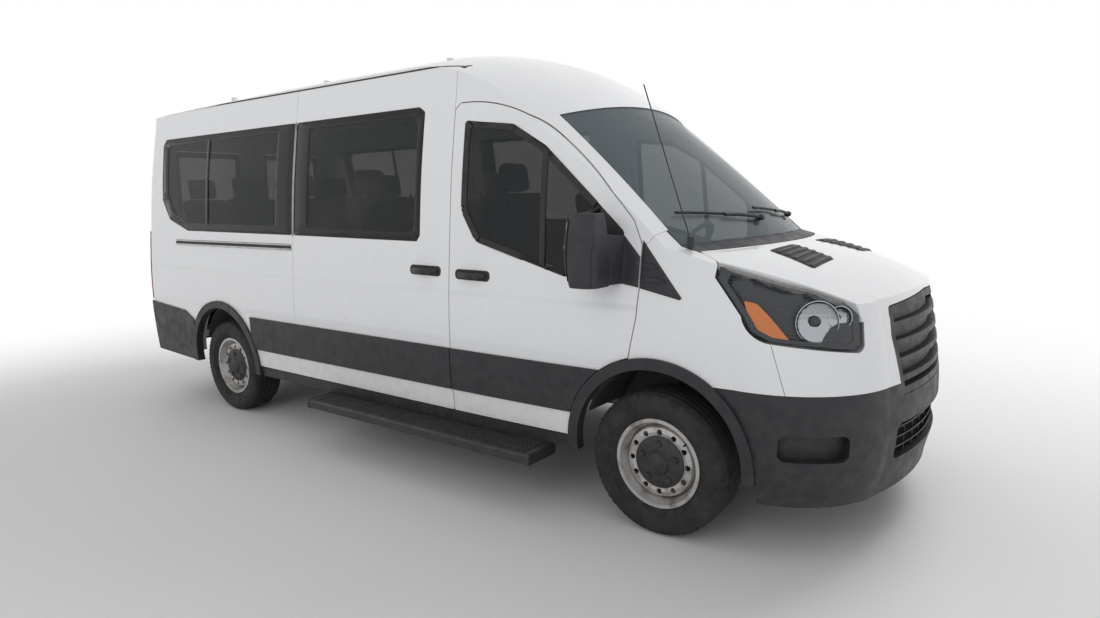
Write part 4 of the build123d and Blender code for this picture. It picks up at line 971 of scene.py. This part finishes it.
def tyre_profile():
    """Points across the tyre, from one bead over the tread to the other."""
    crown = [(-0.088, tread_radius(-0.088))]
    for middle, half in GROOVES:
        for y, drop in ((middle - half, 0), (middle - 0.7 * half, GROOVE_DEPTH),
                        (middle + 0.7 * half, GROOVE_DEPTH), (middle + half, 0)):
            crown.append((y, tread_radius(y) - drop))
    crown.append((0.088, tread_radius(0.088)))
    return [(-y, r) for y, r in SIDEWALL] + crown + list(reversed(SIDEWALL))


def wheel_centre(name):
    """Middle of a tyre's box, on the wheel's axle."""
    low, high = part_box(f"tyre_{name}")
    return (low + high) / 2


WHEELS = ("front_left", "front_right", "rear_left", "rear_right")
for name in WHEELS:
    hub = wheel_centre(name)
    bm = turned([(0, y, r) for y, r in tyre_profile()], (0, 1, 0), 96, closed=True)
    for shoulder in (-1, 1):
        for number in range(BLOCKS):
            made = bmesh.ops.create_cube(bm, size=1.0)["verts"]
            for v in made:
                inner = v.co.y * shoulder < 0
                length, y, r = BLOCK_INNER if inner else BLOCK_OUTER
                v.co = Vector((v.co.x * length, shoulder * y, r + (0.0018 if v.co.z > 0 else -0.004)))
            turn = Matrix.Rotation(2 * pi * (number + 0.5 * (shoulder > 0)) / BLOCKS, 4, "Y")
            bmesh.ops.transform(bm, matrix=turn, verts=made)
    bmesh.ops.translate(bm, vec=hub, verts=bm.verts[:])
    tyre = show(f"tread_{name}", bm, TYRE, f"wheel_{name}", sharp=28)
    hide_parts(f"tyre_{name}")
print("shoulder blocks a tyre:", 2 * BLOCKS)

# %% [markdown]
# The cap pushes onto the middle of the wheel. It is a thin plastic shell, so its profile is spun
# and given a wall. Five round lugs stand where the bolts are, and a valve sticks out beside it.

# %% Wheel caps and valves
CAP_PROFILE = ((0.0610, 0.129), (0.0660, 0.128), (0.0715, 0.120), (0.0755, 0.090), (0.0770, 0.062),
               (0.0830, 0.056), (0.0900, 0.052), (0.0935, 0.044), (0.0920, 0.036), (0.0945, 0.030),
               (0.0955, 0.0))
CAP_LUGS = 5
for name in WHEELS:
    hub = wheel_centre(name)
    side = 1 if hub.y > 0 else -1
    bm = turned([(0, side * y, r) for y, r in CAP_PROFILE], (0, 1, 0), 64)
    thicken(bm, 0.0015)
    for lug in range(CAP_LUGS):
        made = bmesh.ops.create_cone(bm, segments=24, radius1=0.019, radius2=0.014, depth=0.012,
                                     cap_ends=True)["verts"]
        place = (Matrix.Rotation(2 * pi * lug / CAP_LUGS, 4, "Y")
                 @ Matrix.Translation((0, side * 0.078, 0.093))
                 @ Matrix.Rotation(-side * pi / 2, 4, "X"))
        bmesh.ops.transform(bm, matrix=place, verts=made)
    bmesh.ops.translate(bm, vec=hub, verts=bm.verts[:])
    show(f"wheel_cap_{name}", bm, BLACK_PLASTIC, f"wheel_{name}")
    valve = [hub + Vector((0.135, side * y, 0.112)) for y in (0.055, 0.082)]
    bar_between(f"valve_{name}", valve, 0.0045, SEAL_RUBBER, f"wheel_{name}")
print("caps:", len(WHEELS), "lugs each:", CAP_LUGS)

# %% [markdown]
# ## Mirrors
#
# Each mirror head has a large flat glass and, below it, a small domed one that shows the kerb.
# They sit a few millimetres inside the head's back edge, so each is landed on that face.

# %% Mirror glasses
VIEWS["mirror_back"] = (lambda a, b: Vector((1.35, a, b)), Vector((1, 0, 0)))
MAIN_GLASS = ((-1.212, 1.345), (-1.072, 1.345), (-1.066, 1.500), (-1.094, 1.522), (-1.182, 1.522),
              (-1.208, 1.500))
HEAD_Y = -1.14
SMALL_GLASS = ((-1.205, 1.238), (-1.082, 1.238), (-1.075, 1.322), (-1.210, 1.322))
for side, word in SIDES:
    head_skin = skin_of(f"cab_door_trim_{word}")
    for name, outline in (("main", MAIN_GLASS), ("kerb", SMALL_GLASS)):
        glass = [(-side * y, z) for y, z in outline]
        fitted(f"mirror_{name}_glass_{word}", glass, "mirror_back", head_skin, MIRROR_GLASS,
               f"cab_door_{word}", lift=0.001, thick=0.002, round_off=0.012, step=0.05)
        middle = sum(z for y, z in outline) / len(outline)
        rim = [(-side * (HEAD_Y + (y - HEAD_Y) * 1.09), z + (0.007 if z > middle else -0.007))
               for y, z in outline]
        fitted(f"mirror_{name}_rim_{word}", rim, "mirror_back", head_skin, BLACK_PLASTIC,
               f"cab_door_{word}", lift=-0.001, thick=0.0015, round_off=0.014, step=0.05)
print("mirror glasses:", 2 * len(SIDES))

# %% [markdown]
# ## Tail
#
# The tail lamps are tall stacks of lenses: stop and tail, indicator, reversing and reflector. The
# doors have bonded glass with a printed border, three strap hinges a side, a sunk handle, and a
# moulding that lights the number plate's place. Ribs cover the bumper's step.

# %% Tail lamps, rear glass and hinges
# name, low z, high z, finish
LENSES = (("reflector", 0.835, 0.925, RED_LENS), ("reverse", 0.932, 1.030, WHITE_LENS),
          ("indicator", 1.037, 1.150, AMBER_LENS), ("stop", 1.157, 1.388, RED_LENS))
LENS_Y, STRAP_Y = (0.866, 0.985), (0.700, 0.826)
REAR_PANE = (oblong(0.113, 0.732, 1.393, 2.077), oblong(0.162, 0.682, 1.442, 2.028))
HINGES_Z = (0.80, 1.30, 2.12)
STEP_RIBS = 4
tail_skin = skin_of("tail_lamps")
for side, word in SIDES:
    door = f"rear_door_{word}"
    for name, low, high, finish in LENSES:
        lens = oblong(side * LENS_Y[0], side * LENS_Y[1], low, high)
        fitted(f"tail_lamp_{name}_{word}", lens, "rear", tail_skin, finish, lift=-0.001,
               thick=0.006, round_off=0.010, step=0.03)
    outer, inner = ([(side * y, z) for y, z in pane] for pane in REAR_PANE)
    fitted(f"rear_pane_border_{word}", outer, "rear", skin_of(f"rear_door_window_{word}"), PRINTED_BLACK,
           door, lift=0.0004, thick=0.0012, round_off=0.02, hole=inner, step=0.1)
    for number, z in enumerate(HINGES_Z):
        near, far = side * STRAP_Y[0], side * STRAP_Y[1]
        strap = [(near, z - 0.028), (far, z - 0.034), (far, z + 0.034), (near, z + 0.028)]
        fitted(f"rear_hinge_strap_{word}_{number}", strap, "rear", skin_of(door), PAINT, door,
               lift=-0.001, thick=0.009, round_off=0.012, step=0.03)
print("hinge straps:", 2 * len(HINGES_Z))

# %% [markdown]
# The rear handle is the same grip as on the sides, turned to stand out backwards. The high stop
# lamp hangs on the roof's rear edge, above the doors, so it stays put when they open.

# %% Rear handle, plate lamp, stop lamp and bumper step
rear_skin = skin_of("rear_door_right", "rear_door_left")
handle_at = rear_skin.ray_cast(Vector((-4, -0.09, 1.06)), Vector((1, 0, 0)))[0]
fitted("rear_handle_dish", oblong(-0.215, -0.030, 1.035, 1.088), "rear", rear_skin, SEAL_RUBBER,
       "rear_door_right", lift=-0.001, thick=0.004, round_off=0.02, step=0.05)
grip("rear_handle", handle_at + Vector((-0.004, -0.035, 0)), Vector((-1, 0, 0)), Vector((0, -1, 0)),
     "rear_door_right")
fitted("plate_lamp_moulding", oblong(0.030, 0.470, 1.215, 1.262), "rear", rear_skin, BLACK_PLASTIC,
       "rear_door_left", lift=-0.001, thick=0.022, round_off=0.012, step=0.06)
fitted("high_stop_lamp", oblong(-0.16, 0.16, 2.345, 2.372), "rear", skin_of("roof_panel"), RED_LENS,
       lift=-0.001, thick=0.014, round_off=0.01, step=0.06)
bumper_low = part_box("rear_bumper")[0]
for rib in range(STEP_RIBS):
    x = bumper_low.x + 0.012 + 0.013 * rib
    fitted(f"bumper_step_rib_{rib}", oblong(x, x + 0.006, -0.80, 0.80), "top", skin_of("rear_bumper"),
           SEAL_RUBBER, lift=-0.001, thick=0.004, step=0.2)
print("bumper step ribs:", STEP_RIBS)

# %% [markdown]
# ## Running board
#
# The step below the sliding door is an aluminium plank in black, with raised ribs for grip and
# moulded caps at both ends. The ribs are one thin strip repeated across its width.

# %% Running board tread
board_low, board_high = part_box("running_board")
TREAD_Y = (-1.178, -0.975)
TREAD_RIBS = 9
BOARD_CAP, CAP_Y, CAP_Z, CAP_INSET = (0.03, 0.236, 0.064), -1.075, 0.316, 0.014
board_skin = skin_of("running_board")
for rib in range(TREAD_RIBS):
    y = TREAD_Y[0] + (TREAD_Y[1] - TREAD_Y[0]) * (rib + 0.2) / TREAD_RIBS
    strip = oblong(board_low.x + 0.05, board_high.x - 0.05, y, y + 0.012)
    fitted(f"running_board_rib_{rib}", strip, "top", board_skin, SEAL_RUBBER,
           lift=-0.0005, thick=0.005, step=0.4)
for name, x in (("rear", board_low.x + CAP_INSET), ("front", board_high.x - CAP_INSET)):
    cap = block(BOARD_CAP, (x, CAP_Y, CAP_Z))
    show(f"running_board_cap_{name}", cap, BLACK_PLASTIC)
print("running board ribs:", TREAD_RIBS)

# %% [markdown]
# ## Cabin lining
#
# A lined bus body has a cloth headlining, moulded cards on the doors and lower walls, and a vinyl
# floor. Each one is a sheet landed on the inside of its panel by rays from within the cabin. The
# door cards stop well short of the door's edge, so that they clear the frame when it swings.

# %% Headlining, floor and wall cards
VIEWS["ceiling"] = (lambda a, b: Vector((a, b, 1.5)), Vector((0, 0, 1)))
VIEWS["floor"] = (lambda a, b: Vector((a, b, 1.2)), Vector((0, 0, -1)))
VINYL = Finish("floor_vinyl", (0.085, 0.085, 0.088), 0.6)
VINYL.stain(VINYL.span(VINYL.noise(5, 6), 0.4, 0.8, 0.0, 0.5), (0.13, 0.12, 0.11))
VINYL.grain(VINYL.waves(34, "Y"), 0.0015, 0.6)
VINYL.gloss(VINYL.noise(9), 0.5, 0.7)

fitted("headlining", oblong(-2.76, 0.96, -0.66, 0.66), "ceiling", skin_of("roof_panel"), HEADLINING,
       lift=0.001, thick=0.006, round_off=0.06, step=0.15)
floor_skin = skin_of("floor_panel")
for name, x_low, x_high, half in (("rear", -2.79, -2.24, 0.84), ("middle", -2.23, -1.35, 0.53),
                                  ("centre", -1.34, 1.51, 0.84), ("front", 1.52, 1.90, 0.53)):
    fitted(f"floor_covering_{name}", oblong(x_low, x_high, -half, half), "floor", floor_skin,
           VINYL.material, lift=0.0, thick=0.004, step=0.5)
# name, view, skin node, body, corners
CARDS = [
    ("sliding_door_card", "inside_right", "sliding_door", "body",
     ((-0.755, 0.70), (0.640, 0.70), (0.640, 1.345), (-0.755, 1.355))),
    ("wall_card_right", "inside_right", "body_side_right", "body",
     ((-2.70, 0.86), (-0.86, 0.86), (-0.86, 1.355), (-2.45, 1.365), (-2.70, 1.60))),
    ("wall_card_left", "inside_left", "body_side_left", "body",
     ((-2.70, 0.86), (0.62, 0.86), (0.62, 1.345), (-2.45, 1.365), (-2.70, 1.60))),
]
for side, word in SIDES:
    CARDS.append((f"cab_door_card_{word}", f"inside_{word}", f"cab_door_{word}", f"cab_door_{word}",
                  ((0.760, 0.55), (1.380, 0.55), (1.440, 0.86), (1.640, 1.03), (1.800, 1.08),
                   (1.800, 1.215), (1.470, 1.215), (0.880, 1.370), (0.760, 1.500))))
    CARDS.append((f"rear_door_card_{word}", "inside_rear", f"rear_door_{word}", f"rear_door_{word}",
                  oblong(side * 0.070, side * 0.740, 0.70, 1.335)))
for name, view, node, body, corners in CARDS:
    fitted(name, corners, view, skin_of(node), PALE_PLASTIC, body, lift=0.0,
           thick=0.012, round_off=0.03, step=0.12)
print("wall and door cards:", len(CARDS))

# %% [markdown]
# Armrests and door pockets are thicker plates on the same cards. The stanchion is a straight tube
# from the floor to the point where a ray meets the roof, and the entry rail is a bent one.

# %% Armrests, door pockets, stanchion and entry rail
for side, word in SIDES:
    body = f"cab_door_{word}"
    card_skin = skin_of(body)
    rest = [(0.90, 1.020), (1.42, 1.045), (1.42, 1.105), (0.90, 1.085)]
    fitted(f"armrest_{word}", rest, f"inside_{word}", card_skin, CABIN_PLASTIC, body,
           lift=0.012, thick=0.055, round_off=0.025, step=0.05)
    pocket = [(0.84, 0.60), (1.34, 0.60), (1.38, 0.80), (0.84, 0.80)]
    fitted(f"door_pocket_{word}", pocket, f"inside_{word}", card_skin, CABIN_PLASTIC,
           body, lift=0.012, thick=0.050, round_off=0.035, step=0.06)
pole = Vector((0.36, -0.60, 0.642))
roof_inside = skin_of("roof_panel").ray_cast(Vector((pole.x, pole.y, 1.5)), Vector((0, 0, 1)))[0]
POLE_PAINT = Finish("pole_coating", (0.75, 0.75, 0.73), 0.3, Coat_Weight=0.4)
POLE_PAINT.stain(POLE_PAINT.span(POLE_PAINT.noise(20), 0.5, 0.8, 0.0, 0.3), (0.5, 0.49, 0.46))
bar_between("stanchion", [pole, (pole.x, pole.y, roof_inside.z)], 0.017, POLE_PAINT.material,
            sides=16)
rail = [(pole.x, pole.y, 1.30), (0.30, -0.60, 1.32), (0.10, -0.62, 1.32), (0.02, -0.64, 1.26),
        (0.02, -0.64, 1.00)]
bar_between("entry_rail", rail, 0.014, POLE_PAINT.material, sides=16)
print("stanchion height:", round(roof_inside.z - pole.z, 3))

# %% [markdown]
# ## Dashboard
#
# The frame gives the dashboard's body. On its face go the instrument hood, a blank screen, air
# vents with slats and the glove box lid, each landed from behind the steering wheel.

# %% Dashboard fittings
VIEWS["dash"] = (lambda a, b: Vector((1.2, a, b)), Vector((1, 0, 0)))
dash_skin = skin_of("dashboard")
# name, y low, y high, z low, z high, thickness, finish
DASH = (
    ("instrument_hood", 0.255, 0.645, 1.205, 1.325, 0.055, CABIN_PLASTIC),
    ("instrument_glass", 0.280, 0.620, 1.225, 1.310, 0.058, PRINTED_BLACK),
    ("centre_screen", -0.130, 0.130, 1.190, 1.315, 0.030, PRINTED_BLACK),
    ("centre_stack", -0.140, 0.140, 0.960, 1.170, 0.026, CABIN_PLASTIC),
    ("glove_box", -0.760, -0.260, 0.985, 1.150, 0.012, CABIN_PLASTIC),
)
VENTS_Y = (-0.74, -0.22, 0.215, 0.74)
VENT_HALF, VENT_Z = 0.055, (1.225, 1.295)
VENT_SLATS, SLAT_PITCH = 4, 0.016
for name, y_low, y_high, z_low, z_high, thick, finish in DASH:
    fitted(name, oblong(y_low, y_high, z_low, z_high), "dash", dash_skin, finish,
           lift=-0.002, thick=thick, round_off=0.022, step=0.05, ease=0.15)
for y in VENTS_Y:
    vent = f"air_vent_{round(100 * y) + 100}"
    fitted(vent, oblong(y - VENT_HALF, y + VENT_HALF, *VENT_Z), "dash", dash_skin, SEAL_RUBBER,
           lift=-0.001, thick=0.006, round_off=0.014, step=0.04)
    for slat in range(VENT_SLATS):
        z = VENT_Z[0] + 0.008 + SLAT_PITCH * slat
        fitted(f"{vent}_slat_{slat}", oblong(y - 0.048, y + 0.048, z, z + 0.004), "dash", dash_skin,
               CABIN_PLASTIC, lift=0.004, thick=0.006, step=0.2)
bar_between("gear_lever", [(1.590, 0.10, 1.05), (1.545, 0.10, 1.09), (1.535, 0.10, 1.15)], 0.009,
            BRIGHT_METAL)
bm = bmesh.new()
bmesh.ops.create_uvsphere(bm, u_segments=20, v_segments=12, radius=0.026)
bmesh.ops.scale(bm, vec=(1, 1, 1.25), verts=bm.verts[:])
bmesh.ops.translate(bm, vec=(1.534, 0.10, 1.175), verts=bm.verts[:])
show("gear_knob", bm, CABIN_PLASTIC)
print("dashboard fittings:", len(DASH), "vents:", len(VENTS_Y))

# %% [markdown]
# ## Seats
#
# Foam seats are made the way a trimmer makes them: a slightly small block of foam is covered and
# then filled out until the cloth is tight. One cushion, one back and one head pad are blown up
# with a short cloth simulation. The cloth would go on swelling, so each point is stopped at a cap.

# %% Blown-up pads
VOXEL = 0.013
FOAM_GAP = 0.010
SWELL_CAP = 0.014
CROWN = 0.014
PRESSURE = 4.0
FRAMES = 20


def foam(name, size, round_off):
    """A pad centred on the origin: a rounded block, remeshed and swollen by cloth under pressure."""
    bm = block([length - 2 * FOAM_GAP for length in size], round_off=round_off, segments=4)
    mesh = bpy.data.meshes.new(name)
    bm.to_mesh(mesh)
    bm.free()
    pad = bpy.data.objects.new(name, mesh)
    bpy.context.scene.collection.objects.link(pad)
    remesh = pad.modifiers.new("voxels", "REMESH")
    remesh.mode = "VOXEL"
    remesh.voxel_size = VOXEL
    even = bpy.data.meshes.new_from_object(pad.evaluated_get(bpy.context.evaluated_depsgraph_get()))
    pad.modifiers.clear()
    pad.data = even
    before = [v.co.copy() for v in even.vertices]
    scene = bpy.context.scene
    cloth = pad.modifiers.new("filling", "CLOTH")
    cloth.settings.use_pressure = True
    cloth.settings.uniform_pressure_force = PRESSURE
    cloth.settings.effector_weights.gravity = 0.0
    for number in range(1, FRAMES + 1):
        scene.frame_set(number)
    swollen = bpy.data.meshes.new_from_object(pad.evaluated_get(bpy.context.evaluated_depsgraph_get()))
    pad.modifiers.clear()
    scene.frame_set(1)
    for v, start in zip(swollen.vertices, before):
        move = v.co - start
        if move.length > SWELL_CAP:
            v.co = start + move.normalized() * SWELL_CAP
    pad.data = swollen
    bm = bmesh.new()
    bm.from_mesh(pad.data)
    for turn in range(2):
        bmesh.ops.smooth_vert(bm, verts=bm.verts[:], factor=0.4, use_axis_x=True, use_axis_y=True,
                              use_axis_z=True)
    highest = max(v.co.z for v in bm.verts)
    half_x, half_y = size[0] / 2, size[1] / 2
    for v in bm.verts:
        fall = max(0.0, 1 - (v.co.x / half_x) ** 2) * max(0.0, 1 - (v.co.y / half_y) ** 2)
        if v.co.z > 0:
            v.co.z -= CROWN * (1 - fall) * v.co.z / highest
    bpy.data.objects.remove(pad)
    return bm


print("each pad's block is smaller by", 2 * FOAM_GAP)

# %% [markdown]
# The sewn channels come last, because the remesh would erase them. Two run along the cushion and
# the back, and one or two across them. Each presses the upper side down, most in its middle.

# %% Sew the three masters
def sew(bm, axis, place, depth, width=0.011):
    """Presses a seam into the upper side, across one axis."""
    for v in bm.verts:
        near = abs(v.co[axis] - place) / width
        if v.co.z > 0 and near < 2.5:
            v.co.z -= depth * 2.718 ** (-near * near)


PLACE_WIDTH = 0.45
MASTERS = {"cushion": foam("cushion_master", (0.500, PLACE_WIDTH - 0.008, 0.150), 0.036),
           "back": foam("back_master", (0.690, PLACE_WIDTH - 0.008, 0.125), 0.036),
           "head": foam("head_master", (0.190, 0.250, 0.105), 0.034)}
# pad, the axis a seam crosses, its place on that axis and its depth
SEAMS = (("cushion", 1, -0.128, 0.012), ("cushion", 1, 0.128, 0.012), ("cushion", 0, -0.02, 0.008),
         ("back", 1, -0.128, 0.012), ("back", 1, 0.128, 0.012), ("back", 0, -0.12, 0.008),
         ("back", 0, 0.13, 0.008))
for pad, axis, place, depth in SEAMS:
    sew(MASTERS[pad], axis, place, depth)
print("pad vertices:", {name: len(bm.verts) for name, bm in MASTERS.items()})

# %% [markdown]
# Every place in the bus gets copies of the three pads, cut to its own width. The cushion lies
# flat. The back and the head pad lean, so a matrix built from three directions carries them there.
# Two posts join them, and a belt runs down from the shoulder on the window side.

# %% Place the pads, posts and belts
SEAT_TOP = 1.060
RAKE = atan2(0.105, 0.680)
POST_Y = 0.055
# from the middle of a place's top to the middle of each pad
CUSHION_SHIFT, BACK_SHIFT, HEAD_RISE = Vector((0.005, 0, -0.073)), Vector((-0.232, 0, 0.275)), 0.415
# node, x, (middle y, width, places) of each seat or bench
SEATS = (
    ("cab_seats", 1.010, ((0.450, 0.520, 1), (-0.450, 0.520, 1))),
    ("seat_row_1", -0.090, ((0.430, 0.900, 2), (-0.650, 0.450, 1))),
    ("seat_row_2", -0.900, ((0.430, 0.900, 2), (-0.650, 0.450, 1))),
    ("seat_row_3", -1.620, ((0.430, 0.900, 2), (-0.650, 0.450, 1))),
    ("seat_row_4", -2.380, ((0.0, 1.640, 4),)),
)


def copy_pad(part, matrix, name, node):
    """A copy of a master pad, placed, that stands for its frame node."""
    bm = MASTERS[part].copy()
    bmesh.ops.transform(bm, matrix=matrix, verts=bm.verts[:])
    piece = show(name, bm, SEAT_CLOTH, sharp=80)
    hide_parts(node)


def frame_matrix(origin, along, across, out):
    """Matrix that carries X, Y and Z of a pad to three directions at a place."""
    return Matrix.Translation(origin) @ Matrix((along, across, out)).transposed().to_4x4()


up_the_back = Vector((-sin(RAKE), 0, cos(RAKE)))
off_the_back = Vector((cos(RAKE), 0, sin(RAKE)))
across = Vector((0, 1, 0))
count = 0
for node, seat_x, row in SEATS:
    for middle_y, width, places in row:
        for place in range(places):
            pitch = width / places
            y = middle_y + (place - (places - 1) / 2) * pitch
            stretch = Matrix.Diagonal((1, pitch / PLACE_WIDTH, 1, 1))
            seat = f"{node}_place_{count}"
            cushion_at = Vector((seat_x, y, SEAT_TOP)) + CUSHION_SHIFT
            copy_pad("cushion", Matrix.Translation(cushion_at) @ stretch, f"{seat}_cushion", node)
            back_at = Vector((seat_x, y, SEAT_TOP)) + BACK_SHIFT
            copy_pad("back", frame_matrix(back_at, -up_the_back, -across, off_the_back) @ stretch,
                     f"{seat}_back", node)
            head_at = back_at + up_the_back * HEAD_RISE + off_the_back * 0.004
            copy_pad("head", frame_matrix(head_at, -up_the_back, -across, off_the_back),
                     f"{seat}_head", node)
            for post in (-POST_Y, POST_Y):
                foot = back_at + up_the_back * 0.32 + across * post
                bar_between(f"{seat}_post_{'a' if post < 0 else 'b'}",
                            [foot, foot + up_the_back * 0.08], 0.006, BRIGHT_METAL)
            window = 1 if y > 0 else -1
            chest = off_the_back * 0.074
            outboard = across * window * pitch / PLACE_WIDTH
            strap = [back_at + up_the_back * 0.33 + outboard * 0.16 + chest,
                     back_at + outboard * 0.17 + chest * 1.02,
                     back_at - up_the_back * 0.20 + outboard * 0.19 + chest]
            bar_between(f"{seat}_belt", strap, 0.011, BELT_WEBBING, sides=4)
            count += 1
print("places:", count)
for bm in MASTERS.values():
    bm.free()
